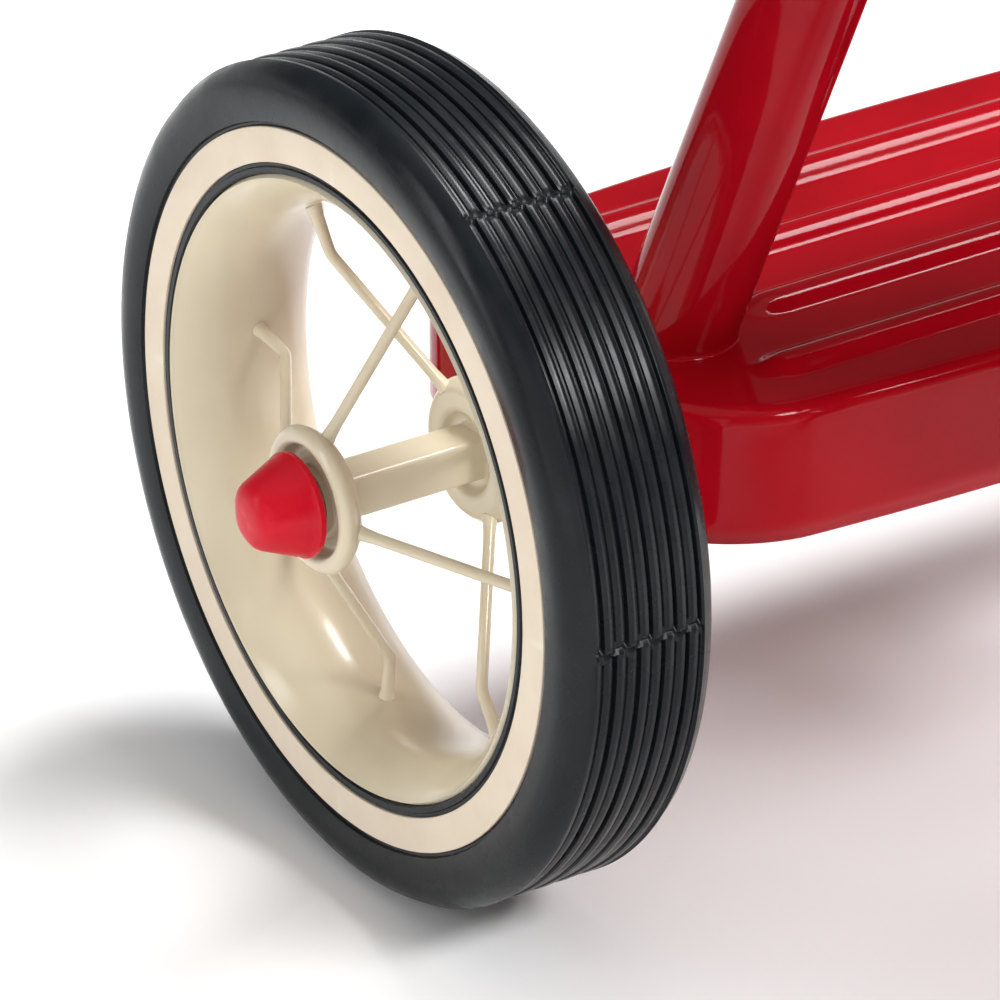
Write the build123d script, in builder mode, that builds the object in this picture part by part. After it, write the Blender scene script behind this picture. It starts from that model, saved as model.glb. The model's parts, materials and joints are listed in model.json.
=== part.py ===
"""Children's dual-deck steel tricycle, in millimetres.

The front points along -Y and +Z is up. The origin is on the ground, in the middle of the
tricycle's length and width.
"""

from build123d import *
from dataclasses import dataclass
from math import cos, radians, sin
import os

os.makedirs("parts", exist_ok=True)

# ---- Driving dimensions ----
wheelbase = 470.0
rear_wheel_x = 180.0  # mid-plane of each rear wheel from the centre line
head_angle = 14.0  # steering axis, leaning back from vertical
weld_gap = 0.2  # between a coped tube end and the tube it is welded to
running_gap = 0.05  # radial clearance of a shaft in its bush
side_play = 0.3  # end clearance of a turning piece

axle_d = 8.0
axle_tube_d = 18.0
spacer_d = 14.0
washer_d = 18.0
washer_t = 1.2
push_nut_d = 16.0
push_nut_t = 2.0
cap_base_d = 26.8
cap_nose_d = 17.0
cap_lip_h = 2.5
cap_lip_w = 0.8  # how far the lip stands out from the cone
cap_h = 15.0
cap_nose_r = 4.0
cap_base_gap = 1.0  # cap to washer
cap_cavity_gap = 1.5  # beyond the push nut
cap_cavity_side = 1.0
axle_in_cap = 10.0  # how far the axle reaches into its cap
bush_sleeve_l = 10.0
bush_thickness = 0.8

sheet_t = 1.5  # deck and seat pressings
deck_width = 286.0
deck_depth = 138.0
deck_top_above_axle = 25.0
deck_skirt = 33.5
deck_bow = 8.5  # how far the front and rear edges curve out in the middle
deck_front_corner_r = 46.0
deck_rear_corner_r = 22.0
deck_edge_r = 4.5
notch_gap = 1.5  # beside the tube that passes under a deck's front edge
rib_w = 13.0
rib_h = 3.0
rib_edge_r = 2.1
rib_pitch = 29.0
rib_half_lengths = (102.0, 87.0, 87.0, 102.0)  # from the front rib to the rear one

upper_deck_width = 210.0
upper_deck_depth = 130.0
upper_deck_y = 200.0
upper_deck_z = 305.0  # its top face, without the ribs
upper_deck_skirt = 22.0
upper_corner_r = 26.0
upper_rib_half_lengths = (62.0, 78.0, 78.0)
upper_rib_pitch = 32.0

leg_d = 30.0
leg_wall = 1.6
leg_foot_x = 110.0
leg_foot_y = -14.0  # from the rear axle
leg_inward = 0.20  # sideways lean for each unit of height
leg_forward = 0.26

backbone_d = 38.0
backbone_wall = 2.0
backbone_bend_y = 40.0
backbone_bend_z = 262.0
backbone_drop_y = 150.0
backbone_bend_r = 120.0
backbone_drop_r = 45.0

head_tube_d = 34.0
head_tube_wall = 2.0
head_tube_h = 100.0
bush_flange_t = 3.0
bush_wall = 1.8
headset_sleeve_h = 14.0

tyre_clearance = 8.0  # front tyre to fender
fender_wall = 1.5
fender_half_w = 26.0
fender_crown = 6.0  # its section is this much higher in the middle
fender_front = 30.0  # degrees ahead of the steering axis
fender_rear = 75.0  # degrees behind it
crown_gap = 10.0  # above the fender
crown_h = 13.0
crown_w = 26.0
crown_end = 2.0  # beyond each fork leg
crown_edge_r = 3.0
fork_leg_x = 38.0
fork_leg_d = 18.0
fork_leg_wall = 2.0
fork_boss_d = 26.0
fork_boss_w = 18.0
fork_bush_head_w = 3.0
fork_bush_head_t = 2.0
steerer_d = 25.4
steerer_wall = 2.2
steerer_above_head = 44.0

stem_wall = 3.6
stem_sleeve_h = 48.0
stem_bolt_up = 21.6  # from the sleeve's lower end
stem_neck_d = 22.0
stem_rise = 96.0  # handlebar centre above the headset
stem_clamp_d = 31.0
stem_clamp_w = 36.0

bar_d = 19.0
bar_wall = 1.6
bar_points = ((75.0, 0.0, 0.0), (125.0, 8.0, 60.0), (198.0, 120.0, 52.0))  # out, back, up
bar_radii = (40.0, 35.0)
grip_d = 29.0
grip_l = 104.0
grip_end_t = 5.0
grip_edge_r = 2.0

crank_d = 12.0
crank_throw = 70.0
crank_inner_x = 60.0
crank_outer_x = 72.0
crank_end_x = 162.0
crank_angle = 30.0  # front-going arm of the left side above horizontal
crank_bend_r = 11.0
pedal_w = 72.0
pedal_l = 60.0
pedal_h = 24.0
pedal_start_x = 84.0
pedal_groove_w = 3.0
pedal_grooves = 5
pedal_groove_depth = 1.5
pedal_edge_r = 5.0

seat_y = 50.0
seat_under_z = 356.0
seat_length = 172.0
seat_rear_w = 196.0
seat_nose_w = 78.0
seat_skirt = 20.0
seat_edge_r = 8.0
seat_post_y = 15.0
seat_post_d = 30.0
seat_plate_w = 50.0
seat_plate_l = 56.0
seat_plate_t = 3.0
seat_plate_corner_r = 6.0
seat_bolt_inset = 9.0  # bolt centre from the plate's edge
seat_waist_grow = 12.0  # the seat is this much wider each side at its middle than at its nose
seat_waist_y = 2.0
seat_wide_back = 48.0  # from the back edge to the widest place
seat_back_corner = (24.0, 8.0)  # in from the widest place and from the back edge
support_w = 30.0
support_h = 14.0
support_corner_r = 2.0
support_end_inset = 12.0  # from the upper deck's rear edge

bolt_d = 6.0
bolt_head_d = 14.0
bolt_head_h = 3.0
screw_head_h = 2.0
screw_in_crown = 10.0
nut_flats = 10.0
nut_t = 5.0
thread_over = 2.0  # bolt end beyond its nut

bell_x = 44.0
bell_clamp_w = 14.0
bell_clamp_wall = 2.5
bell_d = 46.0
bell_wall = 1.2
bell_base_t = 2.0
bell_post_d = 6.0
bell_height = 8.0  # base plate above the clamp
bell_rim_gap = 1.0  # base plate to dome
bell_screw_gap = 0.2
bell_screw_head_w = 1.0
bell_screw_edge_r = 1.2
lever_l = 40.0
lever_w = 9.0
lever_t = 2.5
lever_ring_w = 4.0
lever_tip_r = 6.75


@dataclass
class WheelSizes:
    """One wheel. Places along its axle are measured outwards from the mid-plane."""

    tyre_r: float
    tyre_half_w: float
    side_x: float  # flat sidewall that carries the white band
    tread_half_w: float
    band_inner_r: float
    band_outer_r: float
    lip_r: float
    lip_x: float
    waist_r: float
    spokes_per_flange: int
    first_spoke: float  # degrees, from the rear towards the top
    bend_r: float
    flange_r: float
    recess_r: float
    outer_flange_x: float
    inner_flange_x: float
    barrel_side: float
    bush_r: float


rear = WheelSizes(
    tyre_r=108.0, tyre_half_w=21.3, side_x=20.0, tread_half_w=15.5,
    band_inner_r=83.9, band_outer_r=92.3,
    lip_r=79.3, lip_x=20.2, waist_r=69.5,
    spokes_per_flange=4, first_spoke=8.0, bend_r=57.0,
    flange_r=18.6, recess_r=14.8, outer_flange_x=27.0, inner_flange_x=20.9,
    barrel_side=11.4, bush_r=axle_d / 2 + bush_thickness,
)
front = WheelSizes(
    tyre_r=150.0, tyre_half_w=22.5, side_x=21.2, tread_half_w=16.5,
    band_inner_r=125.9, band_outer_r=135.3,
    lip_r=121.3, lip_x=21.4, waist_r=111.0,
    spokes_per_flange=6, first_spoke=8.0, bend_r=98.0,
    flange_r=24.0, recess_r=19.0, outer_flange_x=22.0, inner_flange_x=22.0,
    barrel_side=17.0, bush_r=crank_d / 2 + running_gap,
)

rim_wall = 1.4
rim_seat_gap = 0.25  # tyre to rim
band_t = 1.2
band_gap = 0.1
groove_w = 1.6
groove_depth = 1.8
groove_count = 5
spoke_d = 2.8
spoke_bend = 7.0
spoke_end_gap = 0.2
flange_t = 1.5
flange_lip = 2.0
barrel_corner_r = 1.2
shoulder_slope = 0.8  # how far the tread's shoulder drops for its width
shoulder_inset = 1.0

# ---- Places worked out from the sizes ----
overall_length = wheelbase + front.tyre_r + rear.tyre_r
rear_axle_y = overall_length / 2 - rear.tyre_r
front_axle_y = rear_axle_y - wheelbase
rear_axle_z = rear.tyre_r
front_axle_z = front.tyre_r
deck_top_z = rear_axle_z + deck_top_above_axle
deck_under_z = deck_top_z - sheet_t
upper_under_z = upper_deck_z - sheet_t

steering = Plane(
    origin=(0, front_axle_y, front_axle_z),
    x_dir=(1, 0, 0),
    z_dir=(0, sin(radians(head_angle)), cos(radians(head_angle))),
)
fender_inner_r = front.tyre_r + tyre_clearance
crown_base = fender_inner_r + fender_wall + crown_gap
crown_top = crown_base + crown_h
head_base = crown_top + side_play + bush_flange_t
head_top = head_base + head_tube_h
headset_top = head_top + bush_flange_t
stem_base = headset_top + side_play
bar_height = headset_top + stem_rise
steerer_top = head_top + steerer_above_head

axle_bore_r = axle_d / 2 + weld_gap


# ---- Shared shapes ----
def wheel_plane(centre, side):
    """Plane through the axle, with x outwards and y up."""
    return Plane(origin=centre, x_dir=(side, 0, 0), z_dir=(0, -side, 0))


def turned(plane, outline):
    """Ring or disc turned about the plane's x axis from (along, radius) points."""
    with BuildPart() as piece:
        with BuildSketch(plane):
            with BuildLine():
                Polyline(*outline, close=True)
            make_face()
        revolve(axis=Axis(plane.origin, plane.x_dir))
    return piece.part


def tube_outline(start, end, inner_r, outer_r):
    return [(start, inner_r), (end, inner_r), (end, outer_r), (start, outer_r)]


def rod_along(path, radius):
    """Round bar that follows a wire."""
    with BuildPart() as piece:
        with BuildSketch(Plane(origin=path @ 0, z_dir=path % 0)):
            Circle(radius)
        sweep(path=path)
    return piece.part


def finish(part, name, colour):
    """Name a finished piece and write its file."""
    part.label = name
    part.color = Color(colour)
    export_step(part, f"parts/{name}.step")


# ---- Wheels ----
def rim_arc(wheel):
    """Radius and centre height of the rim's inner face, which swells towards the hub."""
    rise = wheel.lip_r - wheel.waist_r
    radius = (wheel.lip_x**2 + rise**2) / (2 * rise)
    return radius, wheel.waist_r + radius


def rim_point(wheel, outset):
    """End of the arc that lies `outset` outside the rim's inner face."""
    radius, height = rim_arc(wheel)
    share = (radius - outset) / radius
    return wheel.lip_x * share, height - (height - wheel.lip_r) * share


def make_rim(wheel, plane):
    outer_x, outer_r = rim_point(wheel, rim_wall)
    with BuildPart() as piece:
        with BuildSketch(plane):
            with BuildLine():
                ThreePointArc((-wheel.lip_x, wheel.lip_r), (0, wheel.waist_r),
                              (wheel.lip_x, wheel.lip_r))
                Line((wheel.lip_x, wheel.lip_r), (outer_x, outer_r))
                ThreePointArc((outer_x, outer_r), (0, wheel.waist_r + rim_wall),
                              (-outer_x, outer_r))
                Line((-outer_x, outer_r), (-wheel.lip_x, wheel.lip_r))
            make_face()
        revolve(axis=Axis(plane.origin, plane.x_dir))
    return piece.part


def make_tyre(wheel, plane, band_sides):
    """Solid rubber tyre with a ribbed tread and a groove for each white band."""
    seat_x, seat_r = rim_point(wheel, rim_wall + rim_seat_gap)
    waist = wheel.waist_r + rim_wall + rim_seat_gap
    bulge_r = (wheel.band_outer_r + wheel.tyre_r) / 2
    shoulder_r = wheel.tyre_r - (wheel.tyre_half_w - wheel.tread_half_w) * shoulder_slope
    with BuildPart() as piece:
        with BuildSketch(plane) as section:
            with BuildLine():
                ThreePointArc((-seat_x, seat_r), (0, waist), (seat_x, seat_r))
                for end in (-1, 1):
                    Polyline((end * seat_x, seat_r), (end * wheel.side_x, seat_r),
                             (end * wheel.side_x, wheel.band_outer_r))
                    Spline((end * wheel.side_x, wheel.band_outer_r),
                           (end * wheel.tyre_half_w, bulge_r),
                           (end * (wheel.tyre_half_w - shoulder_inset), shoulder_r),
                           (end * wheel.tread_half_w, wheel.tyre_r))
                Line((-wheel.tread_half_w, wheel.tyre_r), (wheel.tread_half_w, wheel.tyre_r))
            make_face()
            for end in band_sides:
                with Locations((end * wheel.side_x,
                                (wheel.band_inner_r + wheel.band_outer_r) / 2)):
                    Rectangle(2 * band_t, wheel.band_outer_r - wheel.band_inner_r,
                              mode=Mode.SUBTRACT)
            with Locations((0, wheel.tyre_r)):
                with GridLocations(2 * wheel.tread_half_w / groove_count, 1, groove_count, 1):
                    Rectangle(groove_w, 2 * groove_depth, mode=Mode.SUBTRACT)
        revolve(axis=Axis(plane.origin, plane.x_dir))
    return piece.part


def make_bands(wheel, plane, band_sides):
    rings = []
    for end in band_sides:
        rings.append(turned(plane, tube_outline(
            end * (wheel.side_x - band_t), end * wheel.side_x,
            wheel.band_inner_r + band_gap, wheel.band_outer_r - band_gap)))
    return Compound(children=rings) if len(rings) > 1 else rings[0]


def on_wheel(centre, side, along, radius, angle):
    """Point at an angle that turns from the rear towards the top."""
    turn = radians(angle)
    return (centre[0] + side * along,
            centre[1] + radius * cos(turn),
            centre[2] + radius * sin(turn))


def make_spokes(wheel, centre, side):
    """Wires from the hub flanges to the middle of the rim, alternately from each flange."""
    step = 180 / wheel.spokes_per_flange
    root_r = wheel.recess_r + spoke_d / 2
    root_back = flange_t + spoke_d / 2 + running_gap
    roots = (wheel.outer_flange_x - root_back, root_back - wheel.inner_flange_x)
    wires = []
    for index in range(2 * wheel.spokes_per_flange):
        angle = wheel.first_spoke + index * step
        root_x = roots[index % 2]
        wires.append(FilletPolyline(
            on_wheel(centre, side, root_x, root_r, angle),
            on_wheel(centre, side, 0, wheel.bend_r, angle),
            on_wheel(centre, side, 0, wheel.waist_r - spoke_end_gap, angle),
            radius=spoke_bend))
    return Compound(children=[rod_along(wire, spoke_d / 2) for wire in wires])


def flange_outline(wheel, face_x, end):
    """Dished disc whose lip points away from the mid-plane."""
    hole = wheel.bush_r + running_gap
    back = end * (face_x - flange_t)
    lip = end * (face_x + flange_lip)
    face = end * face_x
    return [(back, hole), (back, wheel.flange_r), (lip, wheel.flange_r),
            (lip, wheel.recess_r), (face, wheel.recess_r), (face, hole)]


def make_flanges(wheel, plane):
    return Compound(children=[
        turned(plane, flange_outline(wheel, wheel.outer_flange_x, 1)),
        turned(plane, flange_outline(wheel, wheel.inner_flange_x, -1)),
    ])


def make_barrel(wheel, centre, side, bore_r):
    """Square tube between the flanges."""
    start = flange_t - wheel.inner_flange_x
    end = wheel.outer_flange_x - flange_t
    origin = (centre[0] + side * start, centre[1], centre[2])
    with BuildPart() as piece:
        with BuildSketch(Plane(origin=origin, x_dir=(0, 1, 0), z_dir=(side, 0, 0))):
            RectangleRounded(wheel.barrel_side, wheel.barrel_side, barrel_corner_r)
            Circle(bore_r, mode=Mode.SUBTRACT)
        extrude(amount=end - start)
    return piece.part


def bush_outline(face_x, end, shaft_r, sleeve_r, head_r):
    """Headed sleeve pressed into the hub from outside."""
    inner = end * (face_x - bush_sleeve_l)
    face = end * face_x
    head = end * (face_x + flange_t)
    return [(inner, shaft_r), (inner, sleeve_r), (face, sleeve_r), (face, head_r),
            (head, head_r), (head, shaft_r)]


for side, side_name in ((1, "left"), (-1, "right")):
    wheel_centre = (side * rear_wheel_x, rear_axle_y, rear_axle_z)
    wheel_frame = wheel_plane(wheel_centre, side)
    prefix = f"rear_{side_name}"
    finish(make_tyre(rear, wheel_frame, (1,)), f"{prefix}_tyre", "black")
    finish(make_bands(rear, wheel_frame, (1,)), f"{prefix}_whitewall", "antiquewhite")
    finish(make_rim(rear, wheel_frame), f"{prefix}_rim", "ivory")
    finish(make_spokes(rear, wheel_centre, side), f"{prefix}_spokes", "ivory")
    finish(make_flanges(rear, wheel_frame), f"{prefix}_hub_flanges", "ivory")
    finish(make_barrel(rear, wheel_centre, side, rear.bush_r + running_gap),
           f"{prefix}_hub_barrel", "ivory")
    shaft_r = axle_d / 2 + running_gap
    bushes = Compound(children=[
        turned(wheel_frame, bush_outline(rear.outer_flange_x, 1, shaft_r, rear.bush_r,
                                         washer_d / 2)),
        turned(wheel_frame, bush_outline(rear.inner_flange_x, -1, shaft_r, rear.bush_r,
                                         washer_d / 2)),
    ])
    finish(bushes, f"{prefix}_bushings", "gray")

front_centre = (0, front_axle_y, front_axle_z)
front_frame = wheel_plane(front_centre, 1)
finish(make_tyre(front, front_frame, (-1, 1)), "front_tyre", "black")
finish(make_bands(front, front_frame, (-1, 1)), "front_whitewalls", "antiquewhite")
finish(make_rim(front, front_frame), "front_rim", "ivory")
finish(make_spokes(front, front_centre, 1), "front_spokes", "ivory")
finish(make_flanges(front, front_frame), "front_hub_flanges", "ivory")
finish(make_barrel(front, front_centre, 1, crank_d / 2 + running_gap),
       "front_hub_barrel", "ivory")

# ---- Rear axle and what holds the wheels on it ----
hub_out = rear.outer_flange_x + flange_t
washer_out = hub_out + side_play
nut_out = washer_out + washer_t
cap_out = nut_out + cap_base_gap
cavity_h = push_nut_t + cap_cavity_gap
cavity_r = push_nut_d / 2 + cap_cavity_side
axle_end_x = cap_out + axle_in_cap
hub_in = rear.inner_flange_x + flange_t
washer_in = hub_in + side_play
spacer_in = washer_in + washer_t
skirt_in = rear_wheel_x - deck_width / 2

washers = []
spacers = []
push_nuts = []
axle_fit_r = axle_d / 2 + running_gap
for side, side_name in ((1, "left"), (-1, "right")):
    frame = wheel_plane((side * rear_wheel_x, rear_axle_y, rear_axle_z), side)
    washers.append(turned(frame, tube_outline(washer_out, nut_out, axle_fit_r, washer_d / 2)))
    washers.append(turned(frame, tube_outline(-spacer_in, -washer_in, axle_fit_r,
                                              washer_d / 2)))
    spacers.append(turned(frame, tube_outline(-skirt_in, -spacer_in, axle_fit_r,
                                              spacer_d / 2)))
    push_nuts.append(turned(frame, tube_outline(nut_out, nut_out + push_nut_t, axle_fit_r,
                                                push_nut_d / 2)))
    cap_end = cap_out + cap_h
    with BuildPart() as cap:
        with BuildSketch(frame):
            with BuildLine():
                Polyline((cap_end, 0), (cap_end, cap_nose_d / 2),
                         (cap_out + cap_lip_h, cap_base_d / 2 - cap_lip_w),
                         (cap_out + cap_lip_h, cap_base_d / 2), (cap_out, cap_base_d / 2),
                         (cap_out, cavity_r), (cap_out + cavity_h, cavity_r),
                         (cap_out + cavity_h, axle_fit_r), (axle_end_x, axle_fit_r),
                         (axle_end_x, 0), close=True)
            make_face()
        revolve(axis=Axis(frame.origin, frame.x_dir))
        nose = cap.edges().filter_by(GeomType.CIRCLE).sort_by(
            Axis((0, 0, 0), (side, 0, 0))).last
        fillet(nose, radius=cap_nose_r)
    finish(cap.part, f"{side_name}_axle_cap", "red")
finish(Compound(children=washers), "axle_washers", "silver")
finish(Compound(children=spacers), "wheel_spacers", "silver")
finish(Compound(children=push_nuts), "axle_push_nuts", "silver")

with BuildPart() as rear_axle:
    with BuildSketch(Plane.YZ.offset(-rear_wheel_x - axle_end_x)):
        with Locations((rear_axle_y, rear_axle_z)):
            Circle(axle_d / 2)
    extrude(amount=2 * (rear_wheel_x + axle_end_x))
finish(rear_axle.part, "rear_axle", "silver")

axle_tube_half = deck_width / 2 - sheet_t
with BuildPart() as axle_tube:
    with BuildSketch(Plane.YZ.offset(-axle_tube_half)):
        with Locations((rear_axle_y, rear_axle_z)):
            Circle(axle_tube_d / 2)
            Circle(axle_bore_r, mode=Mode.SUBTRACT)
    extrude(amount=2 * axle_tube_half)
finish(axle_tube.part, "axle_tube", "darkred")


# ---- Decks ----
def deck_outline(half_w, half_d, front_r, rear_r, inset):
    """Plan of a deck about its own centre, `inset` inside its outer edge."""
    x, y = half_w - inset, half_d - inset
    with BuildSketch(mode=Mode.PRIVATE) as plan:
        with BuildLine():
            ThreePointArc((-x, deck_bow - y), (0, -y), (x, deck_bow - y))
            Line((x, deck_bow - y), (x, y - deck_bow))
            ThreePointArc((x, y - deck_bow), (0, y), (-x, y - deck_bow))
            Line((-x, y - deck_bow), (-x, deck_bow - y))
        make_face()
        fillet(plan.vertices().group_by(Axis.Y)[0], radius=front_r - inset)
        fillet(plan.vertices().group_by(Axis.Y)[-1], radius=rear_r - inset)
    return plan.sketch


def make_tray(top, outer_plan, inner_plan, skirt, edge_r):
    """Pressed sheet with a rounded top edge and a skirt, open below."""
    with BuildPart() as hollow:
        with BuildSketch(top.offset(-sheet_t)):
            add(inner_plan)
        extrude(amount=-skirt)
        fillet(hollow.faces().sort_by(Axis.Z).last.edges(), radius=edge_r - sheet_t)
    with BuildPart() as tray:
        with BuildSketch(top):
            add(outer_plan)
        extrude(amount=-skirt)
        fillet(tray.faces().sort_by(Axis.Z).last.edges(), radius=edge_r)
        add(hollow.part, mode=Mode.SUBTRACT)
    return tray.part


def make_deck(centre_y, top_z, width, depth, skirt, corner_rs, rib_lengths, pitch, holes,
              notch_w):
    """Tray with raised ribs across it and a notch at the front for the tube below it."""
    top = Plane((0, centre_y, top_z))
    count = len(rib_lengths)
    rib_ys = [(index - (count - 1) / 2) * pitch for index in range(count)]
    outer_plan = deck_outline(width / 2, depth / 2, *corner_rs, 0)
    inner_plan = deck_outline(width / 2, depth / 2, *corner_rs, sheet_t)
    with BuildPart() as deck:
        add(make_tray(top, outer_plan, inner_plan, skirt, deck_edge_r))
        for half_length, rib_y in zip(rib_lengths, rib_ys):
            with BuildSketch(top):
                with Locations((0, rib_y)):
                    SlotOverall(2 * half_length, rib_w)
            extrude(amount=rib_h)
        fillet(deck.faces().group_by(Axis.Z)[-1].edges(), radius=rib_edge_r)
        for half_length, rib_y in zip(rib_lengths, rib_ys):
            with BuildSketch(top.offset(-sheet_t)):
                with Locations((0, rib_y)):
                    SlotOverall(2 * (half_length - sheet_t), rib_w - 2 * sheet_t)
            extrude(amount=rib_h, mode=Mode.SUBTRACT)
        with Locations(*[(0, hole_y, top_z) for hole_y in holes]):
            Cylinder(bolt_d / 2 + weld_gap, 4 * sheet_t, mode=Mode.SUBTRACT)
        with Locations((0, centre_y - depth / 2, top_z - sheet_t)):
            Box(notch_w, depth / 4, skirt * 2, mode=Mode.SUBTRACT,
                align=(Align.CENTER, Align.CENTER, Align.MAX))
    return deck.part


lower_bolt_ys = (rear_axle_y - 2 * rib_pitch, rear_axle_y - rib_pitch)
upper_bolt_ys = (upper_deck_y - upper_rib_pitch / 2, upper_deck_y + upper_rib_pitch / 2)

with BuildPart() as lower_deck:
    add(make_deck(rear_axle_y, deck_top_z, deck_width, deck_depth, deck_skirt,
                  (deck_front_corner_r, deck_rear_corner_r), rib_half_lengths, rib_pitch,
                  lower_bolt_ys, backbone_d + 2 * notch_gap))
    with BuildSketch(Plane.YZ.offset(-deck_width)):
        with Locations((rear_axle_y, rear_axle_z)):
            Circle(axle_bore_r)
    extrude(amount=2 * deck_width, mode=Mode.SUBTRACT)
finish(lower_deck.part, "lower_deck", "red")

upper_deck = make_deck(upper_deck_y, upper_deck_z, upper_deck_width, upper_deck_depth,
                       upper_deck_skirt, (upper_corner_r, upper_corner_r),
                       upper_rib_half_lengths, upper_rib_pitch, upper_bolt_ys,
                       support_w + 2 * notch_gap)
finish(upper_deck, "upper_deck", "red")

# ---- Legs ----
leg_rise = upper_under_z - deck_top_z
leg_over = 2 * leg_d  # extra tube at each end before it is trimmed level
for side, side_name in ((1, "left"), (-1, "right")):
    lean = Vector(-side * leg_inward, -leg_forward, 1)
    foot = Vector(side * leg_foot_x, rear_axle_y + leg_foot_y, deck_top_z)
    with BuildPart() as leg:
        with BuildSketch(Plane(origin=foot - lean.normalized() * leg_over, z_dir=lean)):
            Circle(leg_d / 2)
            Circle(leg_d / 2 - leg_wall, mode=Mode.SUBTRACT)
        extrude(amount=leg_rise * lean.length + 2 * leg_over)
        split(bisect_by=Plane.XY.offset(deck_top_z), keep=Keep.TOP)
        split(bisect_by=Plane.XY.offset(upper_under_z), keep=Keep.BOTTOM)
    finish(leg.part, f"{side_name}_leg", "red")

# ---- Backbone, head tube and the upper deck's support ----
joint_height = (head_base + head_top) / 2
joint = steering.offset(joint_height).origin
backbone_end_z = deck_under_z - weld_gap - backbone_d / 2
backbone_line = FilletPolyline(
    joint,
    (0, backbone_bend_y, backbone_bend_z),
    (0, backbone_drop_y, backbone_end_z),
    (0, rear_axle_y, backbone_end_z),
    radius=(backbone_bend_r, backbone_drop_r),
)
backbone_envelope = rod_along(backbone_line, backbone_d / 2 + weld_gap)

with BuildPart() as head_envelope:
    with BuildSketch(steering.offset(head_base)):
        Circle(head_tube_d / 2 + weld_gap)
    extrude(amount=head_tube_h)

with BuildPart() as backbone:
    add(rod_along(backbone_line, backbone_d / 2))
    add(rod_along(backbone_line, backbone_d / 2 - backbone_wall), mode=Mode.SUBTRACT)
    add(head_envelope.part, mode=Mode.SUBTRACT)
    with Locations(Location((0, rear_axle_y, rear_axle_z), (0, 90, 0))):
        Cylinder(axle_tube_d / 2 + weld_gap, 4 * backbone_d, mode=Mode.SUBTRACT)
    with Locations(*[(0, bolt_y, backbone_end_z) for bolt_y in lower_bolt_ys]):
        Cylinder(bolt_d / 2 + weld_gap, 2 * backbone_d, mode=Mode.SUBTRACT)
backbone_solid = backbone.part.solids().sort_by(SortBy.VOLUME).last
finish(backbone_solid, "backbone", "red")

with BuildPart() as head_tube:
    with BuildSketch(steering.offset(head_base)):
        Circle(head_tube_d / 2)
        Circle(head_tube_d / 2 - head_tube_wall, mode=Mode.SUBTRACT)
    extrude(amount=head_tube_h)
finish(head_tube.part, "head_tube", "red")

support_end_y = upper_deck_y + upper_deck_depth / 2 - support_end_inset
support_length = support_end_y - seat_post_y
with BuildPart() as upper_deck_support:
    with BuildSketch(Plane.XZ.offset(-seat_post_y)):
        with Locations((0, upper_under_z - support_h / 2)):
            RectangleRounded(support_w, support_h, support_corner_r)
            RectangleRounded(support_w - 2 * sheet_t, support_h - 2 * sheet_t,
                             support_corner_r / 2, mode=Mode.SUBTRACT)
    extrude(amount=-support_length)
    with Locations((0, seat_post_y, upper_under_z)):
        Cylinder(seat_post_d / 2 + weld_gap, 4 * support_h, mode=Mode.SUBTRACT)
    add(backbone_envelope, mode=Mode.SUBTRACT)
    with Locations(*[(0, bolt_y, upper_under_z) for bolt_y in upper_bolt_ys]):
        Cylinder(bolt_d / 2 + weld_gap, 4 * support_h, mode=Mode.SUBTRACT)
finish(upper_deck_support.part, "upper_deck_support", "red")


# ---- Fasteners ----
def make_bolts(places):
    """Round-headed bolts with hex nuts; each place is (x, y, head seat z, grip length)."""
    pieces = []
    for x, y, z, grip in places:
        seat_plane = Plane((x, y, z))
        shank = grip + nut_t + thread_over
        with BuildPart() as bolt:
            with BuildSketch(seat_plane):
                Circle(bolt_head_d / 2)
            extrude(amount=bolt_head_h)
            fillet(bolt.edges().sort_by(Axis.Z).last, radius=bolt_head_h * 0.8)
            with BuildSketch(seat_plane):
                Circle(bolt_d / 2)
            extrude(amount=-shank)
        with BuildPart() as nut:
            with BuildSketch(seat_plane.offset(-grip)):
                RegularPolygon(nut_flats / 2, 6, major_radius=False)
                Circle(bolt_d / 2 + running_gap, mode=Mode.SUBTRACT)
            extrude(amount=-nut_t)
        pieces += [bolt.part, nut.part]
    return Compound(children=pieces)


lower_grip = sheet_t + weld_gap + backbone_d
upper_grip = sheet_t + support_h
deck_bolt_places = [(0, y, deck_top_z, lower_grip) for y in lower_bolt_ys]
deck_bolt_places += [(0, y, upper_deck_z, upper_grip) for y in upper_bolt_ys]
finish(make_bolts(deck_bolt_places), "deck_bolts", "silver")

# ---- Seat ----
seat_top_z = seat_under_z + sheet_t
seat_bolt_dx = seat_plate_w / 2 - seat_bolt_inset
seat_bolt_dy = seat_plate_l / 2 - seat_bolt_inset


def seat_plan(inset):
    """Saddle outline about the seat's centre, with a rounded nose at the front."""
    rear_x = seat_rear_w / 2 - inset
    nose_x = seat_nose_w / 2 - inset
    front_y = inset - seat_length / 2
    back_y = seat_length / 2 - inset
    wide_y = back_y - seat_wide_back
    corner_in, corner_down = seat_back_corner
    with BuildSketch(mode=Mode.PRIVATE) as plan:
        with BuildLine():
            ThreePointArc((-nose_x, front_y + nose_x), (0, front_y), (nose_x, front_y + nose_x))
            Spline((nose_x, front_y + nose_x), (nose_x + seat_waist_grow, seat_waist_y),
                   (rear_x, wide_y), tangents=((0, 1), (0.2, 1)))
            Spline((rear_x, wide_y), (rear_x - corner_in, back_y - corner_down), (0, back_y),
                   tangents=((0.2, 1), (-1, 0)))
            mirror(about=Plane.YZ)
        make_face()
    return plan.sketch


with BuildPart() as seat:
    add(make_tray(Plane((0, seat_y, seat_top_z)), seat_plan(0), seat_plan(sheet_t),
                  seat_skirt, seat_edge_r))
    with Locations((0, seat_post_y, seat_top_z)):
        with GridLocations(2 * seat_bolt_dx, 2 * seat_bolt_dy, 2, 2):
            Cylinder(bolt_d / 2 + weld_gap, 4 * sheet_t, mode=Mode.SUBTRACT)
finish(seat.part, "seat", "red")

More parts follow.
